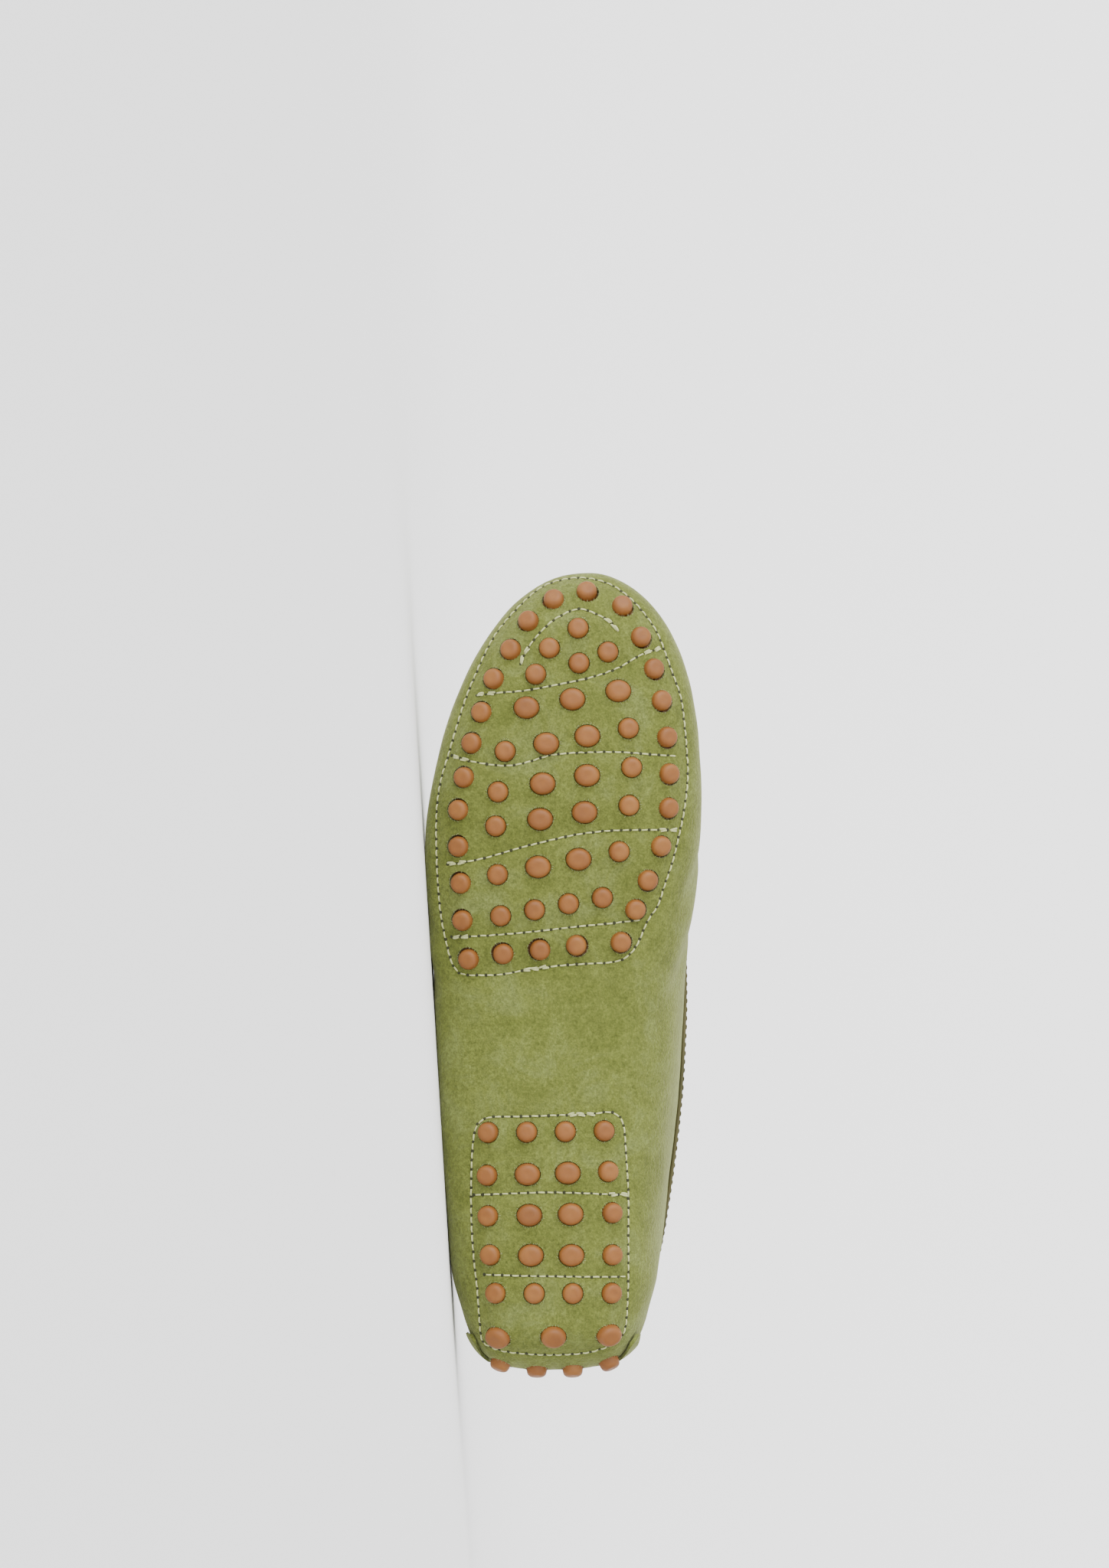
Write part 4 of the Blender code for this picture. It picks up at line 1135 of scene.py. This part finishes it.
def hole_shade_disc(radius):
    """A needle hole as painted shade: a low dark disc where the hollow would lie in shade."""
    bm = bmesh.new()
    bmesh.ops.create_uvsphere(bm, u_segments=8, v_segments=5, radius=radius,
                              matrix=Matrix.Diagonal((1, 1, 0.16, 1)))
    return object_from("needle_hole", bm)


def fibre_shape(length, width):
    """One fibre, bent a little, rising along Z."""
    stations = ((0.0, 0.0, 1.0), (0.35, 0.06, 0.85), (0.7, 0.20, 0.6), (1.0, 0.42, 0.15))
    points = []
    for rise, lean, girth in stations:
        for i in range(3):
            angle = 2 * math.pi * i / 3
            points.append((lean * length + girth * width / 2 * math.cos(angle),
                           girth * width / 2 * math.sin(angle), rise * length))
    ends = [(2, 1, 0), (9, 10, 11)]
    shape = object_from_arrays("fibre", points, ends + band_faces(len(stations), 3))
    shape.data.shade_smooth()
    return shape


def stitch_marks(tree, path, closed, direction, lift):
    """Marks for a line's stitches, and for the dark discs of painted shade at the needle holes between them.
    """
    stitches = []
    holes = []
    spans = len(path) if closed else len(path) - 1
    for i in range(spans):
        ends = [meet(tree, *point, direction) for point in (path[i], path[(i + 1) % len(path)])]
        if ends[0][0] is None or ends[1][0] is None:
            continue
        run = ends[1][0] - ends[0][0]
        if run.length > 2.5 * STITCH_PITCH:
            continue
        rise = (ends[0][1] + ends[1][1]).normalized()
        middle = (ends[0][0] + ends[1][0]) / 2
        stitches.append((middle + rise * lift, run.normalized(), rise))
        # Each needle hole gets a dark disc of painted shade, not a hollow
        holes.append((ends[0][0] + ends[0][1] * lift * 0.3, run.normalized(), ends[0][1]))
    return stitches, holes


def back_tack(marks, at_start, rng):
    """The doubled, thicker stitches where a line begins or ends."""
    chosen = marks[:2] if at_start else marks[-2:]
    extra = []
    for place, run, rise in chosen:
        side = rise.cross(run)
        for shift in (0.35, -0.30):
            moved = place + side * shift * MM + run * (rng.random() - 0.5) * 1.6 * MM + rise * 0.12 * MM
            turned = (run + side * (rng.random() - 0.5) * 0.35).normalized()
            extra.append((moved, turned, rise))
    return extra


def sole_stitches(tree):
    rng = np.random.default_rng(5)
    stitches = []
    holes = []
    tacks = []
    for rows, closed, tack_start, tack_end in SOLE_LINES:
        path = smooth_path(tread_path(rows), closed, STITCH_PITCH)
        made, hole_shade_marks = stitch_marks(tree, path, closed, FROM_BELOW, 0.06 * MM)
        stitches += made
        holes += hole_shade_marks
        if tack_start:
            tacks += back_tack(made, True, rng)
        if tack_end:
            tacks += back_tack(made, False, rng)
        if closed:
            # The loop's own start and end overlap over a few stitches
            join = [mark for mark in made if join_here(rows, mark[0])]
            tacks += back_tack(join, True, rng) + back_tack(join[2:], True, rng)
    return stitches, holes, tacks


def join_here(rows, place):
    """Whether a stitch lies where its loop was closed."""
    along = (place.x / SHOE_LENGTH - TREAD_START) / TREAD_SPAN
    across = place.y / HALF_BALL / TREAD_SPAN
    if rows is FOREFOOT_LOOP:
        return 0.49 < along < 0.51 and -0.30 < across < -0.12
    return 0.31 < along < 0.33 and 0.06 < across < 0.26


def counter_stitches(tree):
    """The stitching inside both edges of the counter, above its legs, seen from behind."""
    middle = HALF_BALL * SECTION["centre"](0)
    half = COUNTER_TOP_HALF - 1.5 * MM
    high = collar_height(0.0) - BINDING_WIDTH - 2 * MM
    marks = []
    for side in (-1, 1):
        edge = np.array([(middle + side * half, COUNTER_SHOULDER), (middle + side * half, high)])
        path = smooth_path(edge, False, 2.8 * MM)
        made, _ = stitch_marks(tree, path, False, FROM_BEHIND, FIT_GAP + COUNTER_THICKNESS)
        marks += made
    return marks


def seam_stitches(frames):
    """Hand stitches over the apron's seam, one to each gather."""
    marks = []
    step = PUCKER_PITCH / SEAM_STEP
    index = step / 2
    while index < len(frames) - 1:
        place, side, out = frames[int(index)]
        marks.append((place + out * (SEAM_HEIGHT * 0.93), side, out))
        index += step
    return marks


def binding_stitches(tree, frames):
    """The stitching along the lower edge of the binding."""
    marks = []
    height = FIT_GAP + BINDING_THICKNESS - 0.02 * MM
    for i in range(0, len(frames) - 1, 2):
        ends = []
        for place, up, _ in frames[i:i + 2]:
            near, normal, _, _ = tree.find_nearest(place - up * (BINDING_WIDTH - 1.5 * MM))
            ends.append((near, normal))
        run = ends[1][0] - ends[0][0]
        if run.length < 0.2 * MM:
            continue
        rise = ends[0][1]
        marks.append((ends[0][0] + run * 0.5 + rise * height, run.normalized(), rise))
    return marks


def fray_marks(tree, seats):
    """Fibres round the rim of each pebble's hole, leaning over the gap."""
    rng = np.random.default_rng(23)
    marks = []
    for seat in seats:
        _, place, _, large, slip = seat
        long_radius, radius = pebble_size(large)
        turn = pebble_frame(seat).to_3x3()
        count = 46 if large else 40
        for i in range(count):
            angle = 2 * math.pi * (i + 0.7 * rng.random()) / count
            grow = 0.30 + 0.55 * rng.random()
            local = Vector(((long_radius + grow * MM) * math.cos(angle),
                            (radius + grow * MM) * math.sin(angle), 0))
            rim = place + slip + turn @ local
            near, normal, _, _ = tree.find_nearest(rim)
            inwards = (place + slip - rim).normalized()
            lean = 0.2 + 1.3 * rng.random()
            rise = (normal + inwards * lean).normalized()
            run = (inwards - inwards.project(rise)).normalized()
            marks.append((near - normal * 0.05 * MM, run, rise))
    return marks


# Materials

def colour(red, green, blue):
    """A colour given as shown on a screen, 0 to 255, made linear."""
    def linear(value):
        share = value / 255
        return share / 12.92 if share <= 0.04045 else ((share + 0.055) / 1.055) ** 2.4
    return (linear(red), linear(green), linear(blue), 1.0)


def grey(level):
    return (level, level, level, 1.0)


class Finish:
    """A material in the making, with textures that lie on the piece's own coordinates."""

    def __init__(self, name, base, roughness, specular):
        self.material = bpy.data.materials.new(name)
        self.material.use_nodes = True
        self.nodes = self.material.node_tree.nodes
        self.links = self.material.node_tree.links
        self.shader = self.nodes["Principled BSDF"]
        self.normal = None
        self.set("Base Color", base)
        self.set("Roughness", roughness)
        self.set("Specular IOR Level", specular)

    def set(self, name, value):
        self.shader.inputs[name].default_value = value

    def feed(self, name, output):
        self.links.new(output, self.shader.inputs[name])

    def where(self):
        return self.nodes.new("ShaderNodeTexCoord").outputs["Object"]

    def node(self, kind, given, **values):
        """A node with its first input linked, and others set."""
        node = self.nodes.new(kind)
        self.links.new(given[1], node.inputs[given[0]])
        for name, value in values.items():
            node.inputs[name.replace("_", " ")].default_value = value
        return node

    def noise(self, where, scale, detail, roughness, distortion=0.0):
        return self.node("ShaderNodeTexNoise", ("Vector", where), Scale=scale, Detail=detail,
                         Roughness=roughness, Distortion=distortion).outputs["Fac"]

    def ramp(self, value, stops):
        node = self.node("ShaderNodeValToRGB", ("Fac", value))
        for i, (place, shade) in enumerate(stops):
            stop = node.color_ramp.elements[i] if i < 2 else node.color_ramp.elements.new(place)
            stop.position = place
            stop.color = shade
        return node.outputs["Color"]

    def tinted(self, base, texture, amount, stops):
        """The base made darker and paler by a texture, through a ramp of grey levels."""
        node = self.nodes.new("ShaderNodeMix")
        node.data_type = "RGBA"
        node.blend_type = "MULTIPLY"
        node.inputs["Factor"].default_value = amount
        colours = [socket for socket in node.inputs if socket.type == "RGBA"]
        self.links.new(base, colours[0])
        self.links.new(self.ramp(texture, [(place, grey(level)) for place, level in stops]), colours[1])
        return next(socket for socket in node.outputs if socket.type == "RGBA")

    def bump(self, height, strength, distance):
        """Relief over the relief that is there already."""
        node = self.node("ShaderNodeBump", ("Height", height), Strength=strength, Distance=distance)
        if self.normal is not None:
            self.links.new(self.normal, node.inputs["Normal"])
        self.normal = node.outputs["Normal"]
        self.feed("Normal", self.normal)


def suede(name, dark, middle, pale, sheen):
    """Napped suede: a fine grain of fibres, brushed patches and a soft pale edge."""
    finish = Finish(name, middle, 0.96, 0.12)
    where = finish.where()
    along_nap = finish.node("ShaderNodeMapping", ("Vector", where), Scale=(45.0, 45.0, 150.0),
                            Rotation=(0.2, 0.5, 0.9)).outputs["Vector"]
    patches = finish.noise(where, 58.0, 5.0, 0.66, 0.6)
    brushed = finish.noise(along_nap, 1.0, 3.0, 0.6)
    grain = finish.noise(where, 1500.0, 2.0, 0.7)
    coarse = finish.noise(where, 640.0, 3.0, 0.7)
    base = finish.ramp(patches, ((0.33, dark), (0.50, middle), (0.68, pale)))
    base = finish.tinted(base, brushed, 0.55, ((0.35, 0.90), (0.65, 1.10)))
    base = finish.tinted(base, grain, 0.85, ((0.30, 0.70), (0.50, 1.0), (0.70, 1.34)))
    base = finish.tinted(base, coarse, 0.9, ((0.32, 0.76), (0.50, 1.0), (0.68, 1.24)))
    finish.feed("Base Color", base)
    finish.bump(grain, 0.75, 0.00022)
    finish.bump(coarse, 0.75, 0.0005)
    finish.set("Sheen Weight", sheen)
    finish.set("Sheen Roughness", 0.42)
    finish.set("Sheen Tint", colour(214, 216, 168))
    return finish.material


def rubber(name, dark, middle, pale):
    """Natural rubber with a dull bloom."""
    finish = Finish(name, middle, 0.52, 0.38)
    where = finish.where()
    patches = finish.noise(where, 70.0, 4.0, 0.6, 0.4)
    dust = finish.noise(where, 900.0, 3.0, 0.65)
    base = finish.ramp(patches, ((0.32, dark), (0.50, middle), (0.70, pale)))
    finish.feed("Base Color", finish.tinted(base, dust, 0.8, ((0.30, 0.93), (0.72, 1.08))))
    shine = finish.node("ShaderNodeMapRange", ("Value", dust), To_Min=0.44, To_Max=0.66)
    finish.feed("Roughness", shine.outputs["Result"])
    finish.bump(dust, 0.30, 0.00012)
    return finish.material


def thread(name, base):
    """Thread with its ply as fine streaks."""
    finish = Finish(name, base, 0.62, 0.5)
    ply = finish.noise(finish.where(), 2600.0, 2.0, 0.6)
    plain = finish.nodes.new("ShaderNodeRGB").outputs[0]
    plain.default_value = base
    finish.feed("Base Color", finish.tinted(plain, ply, 0.9, ((0.30, 0.80), (0.70, 1.15))))
    finish.bump(ply, 0.5, 0.0001)
    finish.set("Sheen Weight", 0.25)
    return finish.material


def leather(name, dark, middle, pale, roughness, fineness):
    """Smooth leather with a fine pebbled grain."""
    finish = Finish(name, middle, roughness, 0.35)
    where = finish.where()
    patches = finish.noise(where, 30.0, 4.0, 0.6, 0.5)
    finish.feed("Base Color", finish.ramp(patches, ((0.32, dark), (0.5, middle), (0.7, pale))))
    cells = finish.node("ShaderNodeTexVoronoi", ("Vector", where), Scale=fineness)
    cells.feature = "DISTANCE_TO_EDGE"
    finish.bump(cells.outputs["Distance"], 0.35, 0.0003)
    return finish.material


SUEDE_GREEN = suede("suede_green", colour(82, 89, 39), colour(91, 98, 46), colour(99, 107, 58), 0.34)
SUEDE_FIBRE = thread("suede_fibre", colour(139, 144, 96))
RUBBER_TAN = rubber("rubber_tan", colour(106, 61, 15), colour(115, 68, 19), colour(124, 78, 27))
THREAD_PALE = thread("thread_pale", colour(164, 168, 112))
BINDING_OLIVE = leather("binding_olive", colour(57, 56, 25), colour(69, 65, 32), colour(78, 75, 39),
                        0.72, 900.0)
LINING_TAN = leather("lining_tan", colour(139, 115, 82), colour(149, 125, 91), colour(157, 135, 103),
                     0.66, 700.0)
# Painted shade: the dark colour of the discs that stand for the needle holes' shaded hollows
HOLE_PAINTED_SHADE = Finish("needle_hole_painted_shade", colour(39, 41, 16), 0.95, 0.5).material


def lying_pose():
    """The turn and shift that lay the shoe on its outer side."""
    up = Vector((math.sin(LEAN_TO_TOE), math.cos(LEAN_TO_TOE) * math.cos(LEAN_TO_TOP),
                 math.cos(LEAN_TO_TOE) * math.sin(LEAN_TO_TOP)))
    toe = Vector((1, 0, 0))
    toe = (toe - toe.project(up)).normalized()
    turn = Matrix((-toe, up.cross(-toe), up)).to_4x4()
    return Matrix.Translation(SHOE_ORIGIN) @ turn


def settle(obj):
    """Nothing reaches through the surface that the shoe lies on."""
    lowest = 0.02 * MM
    for vert in obj.data.vertices:
        vert.co.z = max(vert.co.z, lowest)


def dress(obj, material, nodes, angle=50):
    obj.data.transform(lying_pose())
    settle(obj)
    if material is not None:
        obj.data.materials.clear()
        obj.data.materials.append(material)
    obj.data.shade_smooth()
    if angle is not None:
        obj.data.set_sharp_from_angle(angle=math.radians(angle))
    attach(obj, "root")
    if nodes:
        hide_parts(*nodes)


def line_foot_side(obj, outside, depth, facing):
    """Faces deeper than this under the form, and turned to the foot, get the lining's material."""
    mesh = obj.data
    mesh.materials.clear()
    mesh.materials.append(outside)
    mesh.materials.append(LINING_TAN)
    for polygon in mesh.polygons:
        near, normal, _, _ = PLAIN_TREE.find_nearest(polygon.center)
        deep = (polygon.center - near).dot(normal) < -depth
        polygon.material_index = 1 if deep and normal.dot(polygon.normal) < facing else 0


FINE = Form(end_steps=38, middle_steps=196, low_steps=62, high_steps=40)
COARSE = Form(end_steps=22, middle_steps=84, low_steps=30, high_steps=22)
PLAIN_TREE = FINE.tree()
SEATS = find_seats(PLAIN_TREE)

upper, RELIEF = make_upper(FINE, COARSE, SEATS)
SUEDE_TREE = FINE.tree(RELIEF)
line_foot_side(upper, SUEDE_GREEN, SUEDE_WALL * 0.72, -0.5)
pads = make_pads(COARSE, SEATS)
for pad, _ in pads:
    line_foot_side(pad, RUBBER_TAN, SUEDE_WALL + FIT_GAP / 2, 0.5)
insole = make_insole(COARSE)
apron = make_apron(FINE, COARSE)
seam, seam_frames = make_seam(PLAIN_TREE)
loop = collar_loop(PLAIN_TREE)
binding, binding_frames = make_binding(PLAIN_TREE, loop)
counter = make_counter(FINE, COARSE)

stitches, hole_shade_marks, tacks = sole_stitches(SUEDE_TREE)
small_pieces = (
    ("sole_stitches", stitches, stitch_shape(STITCH_LENGTH, THREAD_WIDTH),
     THREAD_PALE, 0.92, 1.06, 0.07, 3, "suede"),
    ("back_tack_stitches", tacks, stitch_shape(STITCH_LENGTH * 1.1, THREAD_WIDTH * 1.25),
     THREAD_PALE, 0.9, 1.1, 0.12, 4, "suede"),
    # Dark discs of painted shade at the needle holes
    ("sole_needle_holes", hole_shade_marks, hole_shade_disc(NEEDLE_HOLE),
     HOLE_PAINTED_SHADE, 0.85, 1.15, 0.0, 6, "suede"),
    ("counter_stitches", counter_stitches(PLAIN_TREE), stitch_shape(2.2 * MM, 0.55 * MM),
     THREAD_PALE, 0.95, 1.05, 0.05, 7, "suede"),
    ("apron_hand_stitches", seam_stitches(seam_frames), stitch_shape(SEAM_WIDTH, 0.8 * MM),
     THREAD_PALE, 0.95, 1.08, 0.08, 8, "suede"),
    ("binding_stitches", binding_stitches(PLAIN_TREE, binding_frames), stitch_shape(2.1 * MM, 0.5 * MM),
     BINDING_OLIVE, 0.96, 1.04, 0.04, 9, "binding"),
    ("frayed_hole_fibres", fray_marks(SUEDE_TREE, SEATS), fibre_shape(0.85 * MM, 0.13 * MM),
     SUEDE_FIBRE, 0.55, 1.25, 0.35, 12, "suede"),
)
placed = [(place_shapes(*row), slot) for *row, slot in small_pieces]

dress(upper, None, ("upper",))
for pad, node in pads:
    dress(pad, None, (node,), 35)
dress(insole, LINING_TAN, ("insole",))
dress(apron, SUEDE_GREEN, ("apron",))
dress(seam, SUEDE_GREEN, ("apron_seam",), None)
dress(binding, BINDING_OLIVE, ("collar_binding",), None)
dress(counter, SUEDE_GREEN, ("heel_counter",))
for piece, slot in placed:
    dress(piece, None, (), None)


# Floor, light and camera

def studio_floor():
    """A seamless pale sweep: a floor that curves up far behind the shoe."""
    near, bend, radius, half = -3.6, 1.6, 2.2, 4.5
    flat_steps, curve_steps, wall = 26, 24, 2.5
    profile = [(near + (bend - near) * i / flat_steps, 0.0) for i in range(flat_steps + 1)]
    for i in range(1, curve_steps + 1):
        angle = math.pi / 2 * i / curve_steps
        profile.append((bend + radius * math.sin(angle), radius * (1 - math.cos(angle))))
    profile.append((bend + radius, radius + wall))
    points = [(x, y, z) for y, z in profile for x in (-half, half)]
    faces = [(i, i + 1, i + 3, i + 2) for i in range(0, len(points) - 2, 2)]
    floor = object_from_arrays("studio_floor", points, faces)
    floor.data.shade_smooth()
    floor.data.materials.append(Finish("floor_paper", grey(0.92), 0.95, 0.0).material)


def lobe(nodes, links, where, direction, power, strength):
    """Light that comes mostly from one direction, softer the lower the power."""
    toward = nodes.new("ShaderNodeVectorMath")
    toward.operation = "DOT_PRODUCT"
    toward.inputs[1].default_value = Vector(direction).normalized()
    links.new(where, toward.inputs[0])
    value = toward.outputs["Value"]
    for operation, amount in (("MAXIMUM", 0.0), ("POWER", power), ("MULTIPLY", strength)):
        step = nodes.new("ShaderNodeMath")
        step.operation = operation
        step.inputs[1].default_value = amount
        links.new(value, step.inputs[0])
        value = step.outputs[0]
    return value


# The light's directions, how narrow each is, and its strength
LIGHT_LOBES = (
    ((-0.80, -0.60, 0.06), 9.0, 12.2),
    ((0.0, 0.0, 1.0), 1.0, 1.75),
    ((0.0, -1.0, 0.0), 1.0, 1.10),
)
LIGHT_ALL_ROUND = 0.50


def studio_light():
    """Soft light all round, more of it from the toe and from above."""
    world = bpy.data.worlds.new("studio")
    bpy.context.scene.world = world
    world.use_nodes = True
    nodes, links = world.node_tree.nodes, world.node_tree.links
    where = nodes.new("ShaderNodeTexCoord").outputs["Generated"]
    total = None
    for direction, power, strength in LIGHT_LOBES:
        part = lobe(nodes, links, where, direction, power, strength)
        add = nodes.new("ShaderNodeMath")
        add.operation = "ADD"
        add.inputs[1].default_value = LIGHT_ALL_ROUND
        links.new(part, add.inputs[0])
        if total is not None:
            links.new(total, add.inputs[1])
        total = add.outputs[0]
    links.new(total, nodes["Background"].inputs["Strength"])
    nodes["Background"].inputs["Color"].default_value = grey(1.0)


def photo_camera(pose):
    """Square on to the sole, toe up in the picture."""
    distance = 2.2
    height = 0.5454
    long_side = 36.0
    aim = Vector((205.8, -3.0, 0.0)) * MM
    place = pose @ (aim + Vector((0, 0, -distance)))
    right = pose.to_3x3() @ Vector((0, 1, 0))
    up = pose.to_3x3() @ Vector((1, 0, 0))
    back = right.cross(up)
    camera = bpy.data.cameras.new("photo_camera")
    camera.sensor_width = long_side
    camera.lens = long_side * distance / height
    camera.clip_end = 30.0
    obj = linked("photo_camera", camera)
    obj.matrix_world = Matrix.Translation(place) @ Matrix((right, up, back)).transposed().to_4x4()
    bpy.context.scene.camera = obj


studio_floor()
studio_light()
photo_camera(lying_pose())
